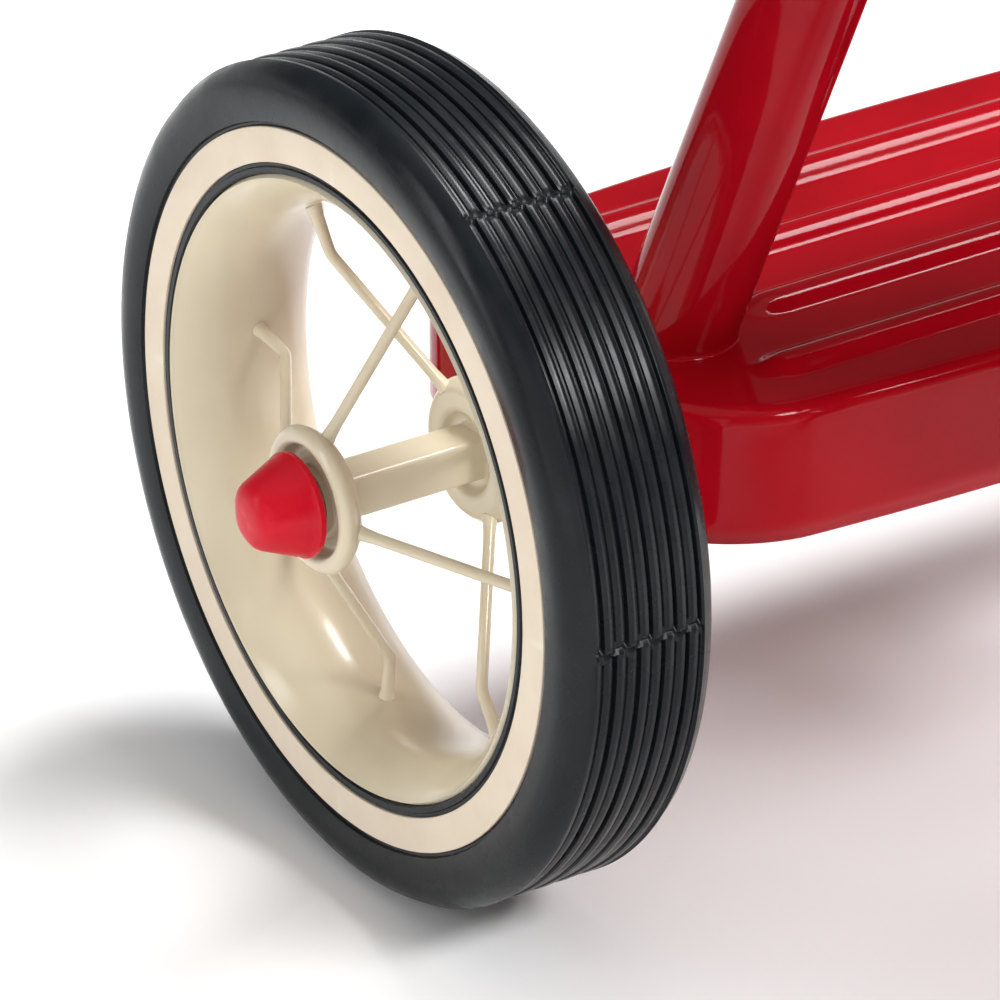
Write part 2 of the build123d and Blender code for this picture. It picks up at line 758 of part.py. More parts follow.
with BuildPart() as seat_bracket:
    with BuildSketch(Plane((0, seat_post_y, seat_under_z))):
        RectangleRounded(seat_plate_w, seat_plate_l, seat_plate_corner_r)
        with GridLocations(2 * seat_bolt_dx, 2 * seat_bolt_dy, 2, 2):
            Circle(bolt_d / 2 + weld_gap, mode=Mode.SUBTRACT)
    extrude(amount=-seat_plate_t)
    with BuildSketch(Plane((0, seat_post_y, seat_under_z - seat_plate_t))):
        Circle(seat_post_d / 2)
    extrude(amount=backbone_bend_z - seat_under_z + seat_plate_t)
    add(backbone_envelope, mode=Mode.SUBTRACT)
bracket_solid = seat_bracket.part.solids().sort_by(SortBy.VOLUME).last
finish(bracket_solid, "seat_bracket", "silver")

seat_bolt_places = [(dx * seat_bolt_dx, seat_post_y + dy * seat_bolt_dy, seat_top_z,
                     sheet_t + seat_plate_t) for dx in (-1, 1) for dy in (-1, 1)]
finish(make_bolts(seat_bolt_places), "seat_bolts", "silver")

# ---- Fork ----
steerer_fit_r = steerer_d / 2 + running_gap
bush_outer_r = head_tube_d / 2 - head_tube_wall - running_gap
headset = []
for face, direction in ((head_base, 1), (head_top, -1)):
    with BuildPart() as headset_bush:
        with BuildSketch(steering.offset(face)):
            Circle(head_tube_d / 2)
            Circle(steerer_fit_r, mode=Mode.SUBTRACT)
        extrude(amount=-direction * bush_flange_t)
        with BuildSketch(steering.offset(face)):
            Circle(bush_outer_r)
            Circle(steerer_fit_r, mode=Mode.SUBTRACT)
        extrude(amount=direction * headset_sleeve_h)
    headset.append(headset_bush.part)
finish(Compound(children=headset), "headset_bushings", "black")

with BuildPart() as steerer:
    with BuildSketch(steering.offset(crown_top)):
        Circle(steerer_d / 2)
        Circle(steerer_d / 2 - steerer_wall, mode=Mode.SUBTRACT)
    extrude(amount=steerer_top - crown_top)
    bolt_height = stem_base + stem_bolt_up
    with BuildSketch(Plane(origin=steering.offset(bolt_height).origin, x_dir=(1, 0, 0),
                           z_dir=steering.y_dir)):
        Circle(bolt_d / 2 + weld_gap)
    extrude(amount=steerer_d, both=True, mode=Mode.SUBTRACT)
finish(steerer.part, "steerer_tube", "red")

crown_half = fork_leg_x + fork_leg_d / 2 + crown_end
with BuildPart() as fork_crown:
    with BuildSketch(steering.offset(crown_base)):
        SlotOverall(2 * crown_half, crown_w)
        Circle(bolt_d / 2 + running_gap, mode=Mode.SUBTRACT)
    extrude(amount=crown_h)
    steering_axis = Axis(steering.origin, steering.z_dir)
    fillet(fork_crown.faces().sort_by(steering_axis).last.outer_wire().edges(),
           radius=crown_edge_r)
finish(fork_crown.part, "fork_crown", "red")

bush_r = crank_d / 2 + bush_wall
for side, side_name in ((1, "left"), (-1, "right")):
    boss_plane = Plane(origin=(side * (fork_leg_x - fork_boss_w / 2), front_axle_y, front_axle_z),
                       x_dir=(0, 1, 0), z_dir=(side, 0, 0))
    with BuildPart() as fork_leg:
        with BuildSketch(steering):
            with Locations((side * fork_leg_x, 0)):
                Circle(fork_leg_d / 2)
                Circle(fork_leg_d / 2 - fork_leg_wall, mode=Mode.SUBTRACT)
        extrude(amount=crown_base)
        with BuildSketch(boss_plane):
            Circle(fork_boss_d / 2)
        extrude(amount=fork_boss_w)
        with BuildSketch(boss_plane):
            Circle(bush_r + running_gap)
        extrude(amount=fork_boss_w, mode=Mode.SUBTRACT)
    finish(fork_leg.part, f"fork_leg_{side_name}", "red")

fork_bushes = []
for side in (1, -1):
    boss_frame = wheel_plane((side * (fork_leg_x - fork_boss_w / 2), front_axle_y,
                              front_axle_z), side)
    head_r = bush_r + fork_bush_head_w
    head_x = fork_boss_w + fork_bush_head_t
    shaft_r = crank_d / 2 + running_gap
    fork_bushes.append(turned(boss_frame, [
        (0, bush_r), (fork_boss_w, bush_r), (fork_boss_w, head_r),
        (head_x, head_r), (head_x, shaft_r), (0, shaft_r)]))
finish(Compound(children=fork_bushes), "fork_bushings", "black")

fender_plane = Plane(origin=front_centre, x_dir=(1, 0, 0), z_dir=-steering.y_dir)
fender_side_r = fender_inner_r - fender_crown
with BuildPart() as front_fender:
    for axis_x, sweep_angle in ((-1, fender_rear), (1, fender_front)):
        with BuildSketch(fender_plane):
            with BuildLine():
                ThreePointArc((-fender_half_w, fender_side_r), (0, fender_inner_r),
                              (fender_half_w, fender_side_r))
                Line((fender_half_w, fender_side_r), (fender_half_w, fender_side_r + fender_wall))
                ThreePointArc((fender_half_w, fender_side_r + fender_wall),
                              (0, fender_inner_r + fender_wall),
                              (-fender_half_w, fender_side_r + fender_wall))
                Line((-fender_half_w, fender_side_r + fender_wall),
                     (-fender_half_w, fender_side_r))
            make_face()
        revolve(axis=Axis(front_centre, (axis_x, 0, 0)), revolution_arc=sweep_angle)
    with BuildSketch(steering.offset(fender_side_r)):
        Circle(bolt_d / 2 + weld_gap)
    extrude(amount=2 * fender_crown, mode=Mode.SUBTRACT)
finish(front_fender.part, "front_fender", "silver")

with BuildPart() as fender_screw:
    screw_base = fender_inner_r - screw_head_h - weld_gap * 2
    with BuildSketch(steering.offset(screw_base)):
        Circle(bolt_d)
    extrude(amount=screw_head_h)
    with BuildSketch(steering.offset(screw_base)):
        Circle(bolt_d / 2)
    extrude(amount=crown_gap + fender_wall + screw_in_crown)
    with BuildSketch(steering.offset(fender_inner_r + fender_wall)):
        Circle(bolt_d)
    extrude(amount=crown_gap)
finish(fender_screw.part, "fender_screw", "silver")

# ---- Stem and handlebar ----
bar_centre = steering.offset(bar_height).origin
sleeve_r = steerer_d / 2 + stem_wall
with BuildPart() as stem:
    with BuildSketch(steering.offset(stem_base)):
        Circle(sleeve_r)
    extrude(amount=stem_sleeve_h)
    with BuildSketch(steering.offset(stem_base)):
        Circle(stem_neck_d / 2)
    extrude(amount=bar_height - stem_base)
    with BuildSketch(Plane(origin=bar_centre - Vector(stem_clamp_w / 2, 0, 0),
                           x_dir=(0, 1, 0), z_dir=(1, 0, 0))):
        Circle(stem_clamp_d / 2)
    extrude(amount=stem_clamp_w)
    with BuildSketch(steering.offset(stem_base)):
        Circle(steerer_fit_r)
    extrude(amount=steerer_top - stem_base + running_gap, mode=Mode.SUBTRACT)
    with BuildSketch(Plane(origin=bar_centre - Vector(stem_clamp_w, 0, 0),
                           x_dir=(0, 1, 0), z_dir=(1, 0, 0))):
        Circle(bar_d / 2 + running_gap)
    extrude(amount=2 * stem_clamp_w, mode=Mode.SUBTRACT)
    with BuildSketch(Plane(origin=steering.offset(bolt_height).origin, x_dir=(1, 0, 0),
                           z_dir=steering.y_dir)):
        Circle(bolt_d / 2 + weld_gap)
    extrude(amount=2 * sleeve_r, both=True, mode=Mode.SUBTRACT)
finish(stem.part, "stem", "silver")

bolt_seat = sleeve_r + running_gap
bolt_axis = Plane(origin=steering.offset(bolt_height).origin, x_dir=(1, 0, 0),
                  z_dir=steering.y_dir)
with BuildPart() as stem_bolt:
    with BuildSketch(bolt_axis.offset(-bolt_seat - bolt_head_h)):
        RegularPolygon(nut_flats / 2, 6, major_radius=False)
    extrude(amount=bolt_head_h)
    with BuildSketch(bolt_axis.offset(-bolt_seat)):
        Circle(bolt_d / 2)
    extrude(amount=2 * bolt_seat + nut_t + thread_over)
with BuildPart() as stem_nut:
    with BuildSketch(bolt_axis.offset(bolt_seat)):
        RegularPolygon(nut_flats / 2, 6, major_radius=False)
        Circle(bolt_d / 2 + running_gap, mode=Mode.SUBTRACT)
    extrude(amount=nut_t)
finish(Compound(children=[stem_bolt.part, stem_nut.part]), "stem_bolt", "silver")

bar_side = [bar_centre + Vector(*point) for point in bar_points]
bar_mirrored = [Vector(-point.X, point.Y, point.Z) for point in reversed(bar_side)]
bar_line = FilletPolyline(*bar_mirrored, *bar_side, radius=(*reversed(bar_radii), *bar_radii))
with BuildPart() as handlebar:
    add(rod_along(bar_line, bar_d / 2))
    add(rod_along(bar_line, bar_d / 2 - bar_wall), mode=Mode.SUBTRACT)
finish(handlebar.part, "handlebar", "silver")

for side, side_name in ((1, "left"), (-1, "right")):
    tip = Vector(side * bar_side[-1].X, bar_side[-1].Y, bar_side[-1].Z)
    before = Vector(side * bar_side[-2].X, bar_side[-2].Y, bar_side[-2].Z)
    inward = (before - tip).normalized()
    with BuildPart() as grip:
        with BuildSketch(Plane(origin=tip - inward * grip_end_t, z_dir=inward)):
            Circle(grip_d / 2)
        extrude(amount=grip_l)
        with BuildSketch(Plane(origin=tip - inward * running_gap, z_dir=inward)):
            Circle(bar_d / 2 + running_gap)
        extrude(amount=grip_l, mode=Mode.SUBTRACT)
        fillet(grip.edges().filter_by(GeomType.CIRCLE).sort_by(Edge.length.fget)[-2:],
               radius=grip_edge_r)
    finish(grip.part, f"{side_name}_grip", "black")

# ---- Bell, on the left of the stem ----
bell_centre = bar_centre + Vector(bell_x, 0, 0)
bell_clamp_r = bar_d / 2 + bell_clamp_wall
bell_base_z = bell_centre.Z + bell_clamp_r + bell_height
with BuildPart() as bell_clamp:
    with BuildSketch(Plane(origin=bell_centre - Vector(bell_clamp_w / 2, 0, 0),
                           x_dir=(0, 1, 0), z_dir=(1, 0, 0))):
        Circle(bell_clamp_r)
    extrude(amount=bell_clamp_w)
    with BuildSketch(Plane((bell_centre.X, bell_centre.Y, bell_centre.Z))):
        Circle(bell_clamp_w / 2)
    extrude(amount=bell_clamp_r + bell_height)
    with BuildSketch(Plane((bell_centre.X, bell_centre.Y, bell_base_z))):
        Circle(bell_d / 2 - bell_wall - bell_rim_gap)
    extrude(amount=bell_base_t)
    with BuildSketch(Plane((bell_centre.X, bell_centre.Y, bell_base_z))):
        Circle(bell_post_d / 2)
    extrude(amount=bell_d / 2 - bell_wall - side_play)
    with BuildSketch(Plane(origin=bell_centre - Vector(bell_clamp_w, 0, 0),
                           x_dir=(0, 1, 0), z_dir=(1, 0, 0))):
        Circle(bar_d / 2 + running_gap)
    extrude(amount=2 * bell_clamp_w, mode=Mode.SUBTRACT)
finish(bell_clamp.part, "bell_clamp", "silver")

with BuildPart() as bell_dome:
    with BuildSketch(Plane(origin=(bell_centre.X, bell_centre.Y, bell_base_z),
                           x_dir=(1, 0, 0), z_dir=(0, -1, 0))):
        with BuildLine():
            Line((0, bell_d / 2), (0, bell_d / 2 - bell_wall))
            CenterArc((0, 0), bell_d / 2 - bell_wall, 0, 90)
            Line((bell_d / 2 - bell_wall, 0), (bell_d / 2, 0))
            CenterArc((0, 0), bell_d / 2, 0, 90)
        make_face()
    revolve(axis=Axis((bell_centre.X, bell_centre.Y, 0), (0, 0, 1)))
finish(bell_dome.part, "bell_dome", "silver")

with BuildPart() as bell_screw:
    screw_seat_z = bell_base_z + bell_d / 2 + bell_screw_gap
    with BuildSketch(Plane((bell_centre.X, bell_centre.Y, screw_seat_z))):
        Circle(bell_post_d / 2 + bell_screw_head_w)
    extrude(amount=screw_head_h)
    fillet(bell_screw.edges().sort_by(Axis.Z).last, radius=bell_screw_edge_r)
finish(bell_screw.part, "bell_screw", "silver")

lever_z = bell_base_z - side_play - lever_t
with BuildPart() as bell_lever:
    with BuildSketch(Plane((bell_centre.X, bell_centre.Y, lever_z))):
        Circle(bell_clamp_w / 2 + lever_ring_w)
        with Locations((0, lever_l / 2)):
            Rectangle(lever_w, lever_l)
        with Locations((0, lever_l)):
            Circle(lever_tip_r)
        Circle(bell_clamp_w / 2 + running_gap, mode=Mode.SUBTRACT)
    extrude(amount=lever_t)
finish(bell_lever.part, "bell_lever", "silver")

# ---- Crank and pedals ----
turn = radians(crank_angle)
arm = Vector(0, -crank_throw * cos(turn), crank_throw * sin(turn))
hub_point = Vector(*front_centre)
crank_line = FilletPolyline(
    hub_point - arm - Vector(crank_end_x, 0, 0),
    hub_point - arm - Vector(crank_outer_x, 0, 0),
    hub_point - Vector(crank_inner_x, 0, 0),
    hub_point + Vector(crank_inner_x, 0, 0),
    hub_point + arm + Vector(crank_outer_x, 0, 0),
    hub_point + arm + Vector(crank_end_x, 0, 0),
    radius=crank_bend_r,
)
finish(rod_along(crank_line, crank_d / 2), "crank", "silver")

for side, side_name in ((1, "left"), (-1, "right")):
    middle = hub_point + arm * side + Vector(side * (pedal_start_x + pedal_w / 2), 0, 0)
    with BuildPart() as pedal:
        with Locations(middle):
            Box(pedal_w, pedal_l, pedal_h)
        fillet(pedal.edges().filter_by(Axis.X), radius=pedal_edge_r)
        for face in (-1, 1):
            with Locations(middle + Vector(0, 0, face * pedal_h / 2)):
                with GridLocations(pedal_w / pedal_grooves, 1, pedal_grooves, 1):
                    Box(pedal_groove_w, pedal_l, 2 * pedal_groove_depth, mode=Mode.SUBTRACT)
        with Locations(Location(middle, (0, 90, 0))):
            Cylinder(crank_d / 2 + running_gap, 2 * pedal_w, mode=Mode.SUBTRACT)
    finish(pedal.part, f"{side_name}_pedal", "black")

pedal_end_x = pedal_start_x + pedal_w + side_play
nuts = []
for side in (1, -1):
    end_plane = wheel_plane(tuple(hub_point + arm * side), side)
    nuts.append(turned(end_plane, tube_outline(pedal_end_x, pedal_end_x + push_nut_t,
                                               crank_d / 2 + running_gap, crank_d)))
finish(Compound(children=nuts), "pedal_nuts", "silver")
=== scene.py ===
"""Children's dual-deck steel tricycle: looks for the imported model, in metres."""

import json
from math import atan2, cos, hypot, pi, radians, sin, sqrt

import bpy
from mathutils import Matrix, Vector


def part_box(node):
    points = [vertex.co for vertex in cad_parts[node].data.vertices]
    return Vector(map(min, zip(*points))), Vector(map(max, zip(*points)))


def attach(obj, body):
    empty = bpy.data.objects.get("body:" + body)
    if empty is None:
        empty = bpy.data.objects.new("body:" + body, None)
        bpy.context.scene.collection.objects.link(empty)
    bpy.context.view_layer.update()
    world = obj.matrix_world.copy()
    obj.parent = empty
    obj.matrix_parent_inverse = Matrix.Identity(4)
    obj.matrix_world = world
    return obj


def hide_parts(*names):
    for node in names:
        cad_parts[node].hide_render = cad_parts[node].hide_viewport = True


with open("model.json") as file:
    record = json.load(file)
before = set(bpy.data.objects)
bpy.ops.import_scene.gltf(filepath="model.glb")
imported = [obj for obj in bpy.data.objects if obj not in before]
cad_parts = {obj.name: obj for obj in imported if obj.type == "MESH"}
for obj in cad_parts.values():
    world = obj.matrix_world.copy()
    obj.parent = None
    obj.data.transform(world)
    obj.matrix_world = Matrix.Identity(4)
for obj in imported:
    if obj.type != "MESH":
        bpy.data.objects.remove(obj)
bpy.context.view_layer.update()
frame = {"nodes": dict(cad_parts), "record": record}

MM = 0.001


def middle(node):
    """Centre of a node's box."""
    low, high = (Vector(corner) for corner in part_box(node))
    return (low + high) / 2


def half_size(node):
    """Half the size of a node's box."""
    low, high = (Vector(corner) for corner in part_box(node))
    return (high - low) / 2


# ---- Camera ----
CAMERA_AZIMUTH = radians(-33.0)
CAMERA_ELEVATION = radians(28.5)
CAMERA_DISTANCE = 1.841
CAMERA_LENS = 270.0
AIM_RIGHT = 0.0395  # the view's centre, from the rear right wheel's outer face
AIM_UP = -0.0021


def make_camera():
    """Long lens, from the front right of the tricycle, on its rear right wheel."""
    towards = Vector((sin(CAMERA_AZIMUTH) * cos(CAMERA_ELEVATION),
                      -cos(CAMERA_AZIMUTH) * cos(CAMERA_ELEVATION), sin(CAMERA_ELEVATION)))
    right = Vector((cos(CAMERA_AZIMUTH), sin(CAMERA_AZIMUTH), 0))
    up = towards.cross(right)
    face = middle("rear_right_tyre")
    face.x = middle("rear_right_whitewall").x
    target = face + right * AIM_RIGHT + up * AIM_UP
    camera = bpy.data.objects.new("camera", bpy.data.cameras.new("camera"))
    camera.data.lens = CAMERA_LENS
    camera.data.sensor_width = 36.0
    camera.location = target + towards * CAMERA_DISTANCE
    camera.rotation_euler = towards.to_track_quat("Z", "Y").to_euler()
    bpy.context.scene.collection.objects.link(camera)
    bpy.context.scene.camera = camera
    bpy.context.scene.view_settings.view_transform = "Standard"


# ---- Materials ----
MIX_FIRST, MIX_SECOND, MIX_RESULT = 6, 7, 2  # the Mix node's colour sockets


class Nodes:
    """Short way to build a material's node tree around one Principled shader."""

    def __init__(self, name):
        self.material = bpy.data.materials.new(name)
        self.material.use_nodes = True
        self.tree = self.material.node_tree
        self.shader = self.tree.nodes["Principled BSDF"]
        self.place = self.add("ShaderNodeTexCoord").outputs["Object"]

    def add(self, kind, **settings):
        node = self.tree.nodes.new(kind)
        for key, value in settings.items():
            setattr(node, key, value)
        return node

    def link(self, source, target):
        self.tree.links.new(source, target)

    def noise(self, scale, detail=4.0, stretch=None):
        node = self.add("ShaderNodeTexNoise")
        node.inputs["Scale"].default_value = scale
        node.inputs["Detail"].default_value = detail
        place = self.place
        if stretch:
            mapping = self.add("ShaderNodeMapping")
            mapping.inputs["Scale"].default_value = stretch
            self.link(self.place, mapping.inputs["Vector"])
            place = mapping.outputs["Vector"]
        self.link(place, node.inputs["Vector"])
        return node.outputs["Fac"]

    def spread(self, value, low, high, start=0.35, end=0.65):
        """Map a value from start..end to low..high."""
        node = self.add("ShaderNodeMapRange")
        node.inputs["From Min"].default_value = start
        node.inputs["From Max"].default_value = end
        node.inputs["To Min"].default_value = low
        node.inputs["To Max"].default_value = high
        self.link(value, node.inputs["Value"])
        return node.outputs["Result"]

    def mix(self, factor, first, second):
        node = self.add("ShaderNodeMix", data_type="RGBA")
        self.link(factor, node.inputs["Factor"])
        for place, colour in ((MIX_FIRST, first), (MIX_SECOND, second)):
            if isinstance(colour, tuple):
                node.inputs[place].default_value = (*colour, 1.0)
            else:
                self.link(colour, node.inputs[place])
        return node.outputs[MIX_RESULT]

    def edges(self, low=0.52, high=0.60):
        """How far the surface is an outer edge, from 0 to 1."""
        pointiness = self.add("ShaderNodeNewGeometry").outputs["Pointiness"]
        return self.spread(pointiness, 0.0, 1.0, low, high)

    def bump(self, height, distance, strength=0.5):
        node = self.add("ShaderNodeBump")
        node.inputs["Strength"].default_value = strength
        node.inputs["Distance"].default_value = distance
        self.link(height, node.inputs["Height"])
        self.link(node.outputs["Normal"], self.shader.inputs["Normal"])

    def finish(self, colour, roughness, **constants):
        self.link(colour, self.shader.inputs["Base Color"])
        self.link(roughness, self.shader.inputs["Roughness"])
        for key, value in constants.items():
            self.shader.inputs[key.replace("_", " ")].default_value = value
        return self.material


def enamel(name, colour, shade, worn, roughness, gloss_level):
    """Baked enamel: soft colour drift, thinner edges, uneven gloss and orange peel."""
    n = Nodes(name)
    drift = n.mix(n.spread(n.noise(18.0), 0.0, 1.0), colour, shade)
    thin = n.mix(n.edges(), drift, worn)
    gloss = n.spread(n.noise(60.0), roughness * 0.8, roughness * 1.25)
    n.bump(n.noise(900.0, 2.0), 0.00004, 0.25)
    return n.finish(thin, gloss, Specular_IOR_Level=gloss_level)


def rubber(name, colour, dusty, roughness, grain):
    """Moulded rubber: dusty patches, rubbed edges and a fine grain."""
    n = Nodes(name)
    dust = n.mix(n.spread(n.noise(45.0, 8.0), 0.0, 1.0, 0.42, 0.72), colour, dusty)
    rubbed = n.mix(n.edges(0.54, 0.70), dust, tuple(min(0.75, c * 1.4) for c in dusty))
    sheen = n.spread(n.noise(120.0), roughness * 0.8, roughness * 1.2)
    n.bump(n.noise(grain), 0.00005, 0.3)
    return n.finish(rubbed, sheen, Specular_IOR_Level=0.18)


def metal(name, colour, dull, low, high, streak):
    """Bare or plated steel, with faint streaks and smudges."""
    n = Nodes(name)
    tint = n.mix(n.spread(n.noise(30.0), 0.0, 1.0), colour, dull)
    smudge = n.spread(n.noise(80.0, 6.0, streak), low, high)
    n.bump(n.noise(1500.0, 2.0, streak), 0.00001, 0.2)
    return n.finish(tint, smudge, Metallic=1.0)


RED = enamel("red_enamel", (0.35, 0.0025, 0.0088), (0.27, 0.0015, 0.0055), (0.41, 0.007, 0.014),
             0.07, 0.12)
CREAM = enamel("cream_enamel", (0.640, 0.565, 0.415), (0.58, 0.505, 0.36), (0.70, 0.63, 0.48),
               0.18, 0.5)
CAP = enamel("cap_red", (0.58, 0.0050, 0.0190), (0.48, 0.0035, 0.014), (0.64, 0.014, 0.03),
             0.30, 0.16)
TYRE = rubber("tyre_rubber", (0.0050, 0.0064, 0.0080), (0.0085, 0.0105, 0.0125), 0.27, 700.0)
WHITE = rubber("whitewall_rubber", (0.70, 0.600, 0.480), (0.65, 0.55, 0.430), 0.60, 900.0)
GRIP = rubber("grip_vinyl", (0.40, 0.006, 0.014), (0.33, 0.012, 0.018), 0.40, 900.0)
PEDAL = rubber("pedal_rubber", (0.014, 0.014, 0.015), (0.05, 0.05, 0.05), 0.55, 800.0)
# Bushes: natural nylon tone, darkened to a brown that is painted shade for the shadowed hub
# recesses they sit in
NYLON_SHADED = rubber("bush_nylon_painted_shade", (0.52, 0.44, 0.31), (0.42, 0.35, 0.25), 0.5, 1200.0)
CHROME = metal("chrome", (0.86, 0.87, 0.88), (0.78, 0.78, 0.80), 0.04, 0.10, (1, 1, 1))
ZINC = metal("zinc_steel", (0.62, 0.62, 0.60), (0.48, 0.48, 0.47), 0.24, 0.42, (1, 6, 1))

SLOT_MATERIALS = {
    "tyre_rubber": TYRE, "whitewall": WHITE, "cream_enamel": CREAM, "red_enamel": RED,
    "cap_plastic": CAP, "chrome_plate": CHROME, "zinc_steel": ZINC, "grip_rubber": GRIP,
    "pedal_rubber": PEDAL, "bush_plastic": NYLON_SHADED,
}
NODE_SLOTS = {part["node"]: part["material_slot"] for part in frame["record"]["subparts"]}


def paint_cad_nodes():
    """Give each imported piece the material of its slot."""
    for name, node in frame["nodes"].items():
        node.data.materials.clear()
        node.data.materials.append(SLOT_MATERIALS[NODE_SLOTS[name]])


# ---- Mesh helpers ----
def new_piece(name, points, faces, replaced, body, smooth_angle=40.0):
    """Add a mesh that stands for the replaced nodes and rides on a body."""
    mesh = bpy.data.meshes.new(name)
    mesh.from_pydata([tuple(p) for p in points], [], faces)
    mesh.update()
    mesh.shade_smooth()
    mesh.set_sharp_from_angle(angle=radians(smooth_angle))
    piece = bpy.data.objects.new(name, mesh)
    bpy.context.scene.collection.objects.link(piece)
    slot = NODE_SLOTS[replaced[0]]
    mesh.materials.append(SLOT_MATERIALS[slot])
    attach(piece, body)
    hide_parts(*replaced)
    return piece


def loft(rings, closed_ends):
    """Points and faces of a skin over equal closed rings, with or without end caps."""
    size = len(rings[0])
    points = [point for ring in rings for point in ring]
    faces = []
    for index in range(len(rings) - 1):
        for step in range(size):
            after = (step + 1) % size
            faces.append((index * size + step, index * size + after,
                          (index + 1) * size + after, (index + 1) * size + step))
    if closed_ends:
        faces.append(tuple(reversed(range(size))))
        faces.append(tuple(range((len(rings) - 1) * size, len(rings) * size)))
    return points, faces


def join(parts):
    """One list of points and faces from several."""
    points, faces = [], []
    for part_points, part_faces in parts:
        start = len(points)
        points += part_points
        faces += [tuple(start + index for index in face) for face in part_faces]
    return points, faces


def lathe(centre, side, outline, segments, change=None):
    """Turn a closed outline of (out, radius) in millimetres about the axle."""
    rings = []
    for step in range(segments):
        angle = 2 * pi * step / segments
        ring = []
        for out, radius in outline:
            if change:
                radius += change(out, radius, angle)
            ring.append(centre + Vector((side * out, radius * cos(angle),
                                         radius * sin(angle))) * MM)
        rings.append(ring)
    rings.append(rings[0])
    points, faces = loft(rings, False)
    size = len(outline)
    last = segments * size
    faces = [tuple(index - last if index >= last else index for index in face)
             for face in faces]
    points = points[:last]
    if side < 0:
        faces = [tuple(reversed(face)) for face in faces]
    return points, faces


def rounded(outline, radius, steps=3):
    """Closed outline with each corner cut by a small arc."""
    result = []
    count = len(outline)
    for index, corner in enumerate(outline):
        before = Vector(outline[index - 1]) - Vector(corner)
        after = Vector(outline[(index + 1) % count]) - Vector(corner)
        cut = min(radius, before.length * 0.45, after.length * 0.45)
        start = Vector(corner) + before.normalized() * cut
        end = Vector(corner) + after.normalized() * cut
        for step in range(steps + 1):
            t = step / steps
            result.append(tuple(start * (1 - t) ** 2 + Vector(corner) * 2 * t * (1 - t)
                                + end * t**2))
    return result


def arc_points(centre, radius, start, end, steps):
    """Points on an arc, with its angles in degrees."""
    return [(centre[0] + radius * cos(radians(start + (end - start) * k / steps)),
             centre[1] + radius * sin(radians(start + (end - start) * k / steps)))
            for k in range(steps + 1)]


def tube(path, radii, sides=16):
    """Round bar along a path, with one radius for each point."""
    rings = []
    along = (path[1] - path[0]).normalized()
    across = along.orthogonal().normalized()
    for index, point in enumerate(path):
        if 0 < index < len(path) - 1:
            along = (path[index + 1] - path[index - 1]).normalized()
        elif index:
            along = (path[index] - path[index - 1]).normalized()
        across = (across - along * across.dot(along)).normalized()
        other = along.cross(across)
        rings.append([point + (across * cos(2 * pi * k / sides)
                               + other * sin(2 * pi * k / sides)) * radii[index]
                      for k in range(sides)])
    return loft(rings, True)


def bent_path(points, radius, steps=8):
    """Path through points with each inner corner rounded by an arc."""
    path = [points[0]]
    for before, corner, after in zip(points, points[1:], points[2:]):
        back = (before - corner).normalized()
        ahead = (after - corner).normalized()
        turn = back.angle(ahead)
        reach = radius / max(0.01, sin(turn / 2)) * cos(turn / 2)
        start, end = corner + back * reach, corner + ahead * reach
        for step in range(steps + 1):
            t = step / steps
            path.append(start * (1 - t) ** 2 + corner * 2 * t * (1 - t) + end * t**2)
    path.append(points[-1])
    return path


# ---- Wheels ----
class Wheel:
    """Sizes of a wheel in millimetres: radii, and places out from its middle plane."""

    def __init__(self, tyre_r, side_x, tread_x, bulge_x, band, lip_r, lip_x, waist_r, spokes,
                 bend_r, flange, flange_x, barrel, bush_r):
        self.tyre_r = tyre_r
        self.side_x = side_x
        self.tread_x = tread_x
        self.bulge_x = bulge_x
        self.band = band
        self.lip_r = lip_r
        self.lip_x = lip_x
        self.waist_r = waist_r
        self.spokes = spokes
        self.bend_r = bend_r
        self.flange_r, self.recess_r = flange
        self.outer_x, self.inner_x = flange_x
        self.barrel = barrel
        self.bush_r = bush_r
        rise = lip_r - waist_r
        self.arc_r = (lip_x**2 + rise**2) / (2 * rise)
        self.arc_height = waist_r + self.arc_r
        self.arc_half = 90 - atan2(self.arc_height - lip_r, lip_x) * 180 / pi


REAR = Wheel(tyre_r=108.0, side_x=20.0, tread_x=15.5, bulge_x=21.3, band=(83.9, 92.3),
             lip_r=79.3, lip_x=20.2, waist_r=69.5, spokes=8, bend_r=57.0, flange=(18.6, 14.8),
             flange_x=(27.0, 20.9), barrel=11.4, bush_r=4.8)
FRONT = Wheel(tyre_r=150.0, side_x=21.2, tread_x=16.5, bulge_x=22.5, band=(125.9, 135.3),
              lip_r=121.3, lip_x=21.4, waist_r=111.0, spokes=12, bend_r=98.0, flange=(24.0, 19.0),
              flange_x=(22.0, 22.0), barrel=17.0, bush_r=6.05)
RIM_WALL = 1.4
SEAT_GAP = 0.25
FIRST_SPOKE = 8.0  # degrees
SPOKE_R = 1.5
SPOKE_SINK = 0.4  # how deep a wire's root lies in its flange's weld
SPOKE_BEND = 7.0
FLANGE_T = 1.5
TREAD_SEAMS = 6  # places round the tyre where the mould's parts meet
FIRST_SEAM = 58.5  # degrees
SEAM_HALF = 0.55  # degrees
RIB_PITCH = 6.9
RIB_SHARE = 0.18  # half of a rib's width, as a share of the pitch
HIGH_RIB, LOW_RIB = 0.18, 0.68  # places of the two ribs' middles in the pitch
HIGH_ROUND, LOW_ROUND = 0.30, 0.25  # how far a rib's edge lies below its middle
LOW_RIB_DROP = 0.45
DEEP_GROOVE, SHALLOW_GROOVE = 1.5, 1.15
SEAM_RIB_DROP, SEAM_GROOVE = 0.15, 1.1
TREAD_STEPS = 90
TYRE_SEGMENTS, RING_SEGMENTS, HUB_SEGMENTS = 600, 240, 96


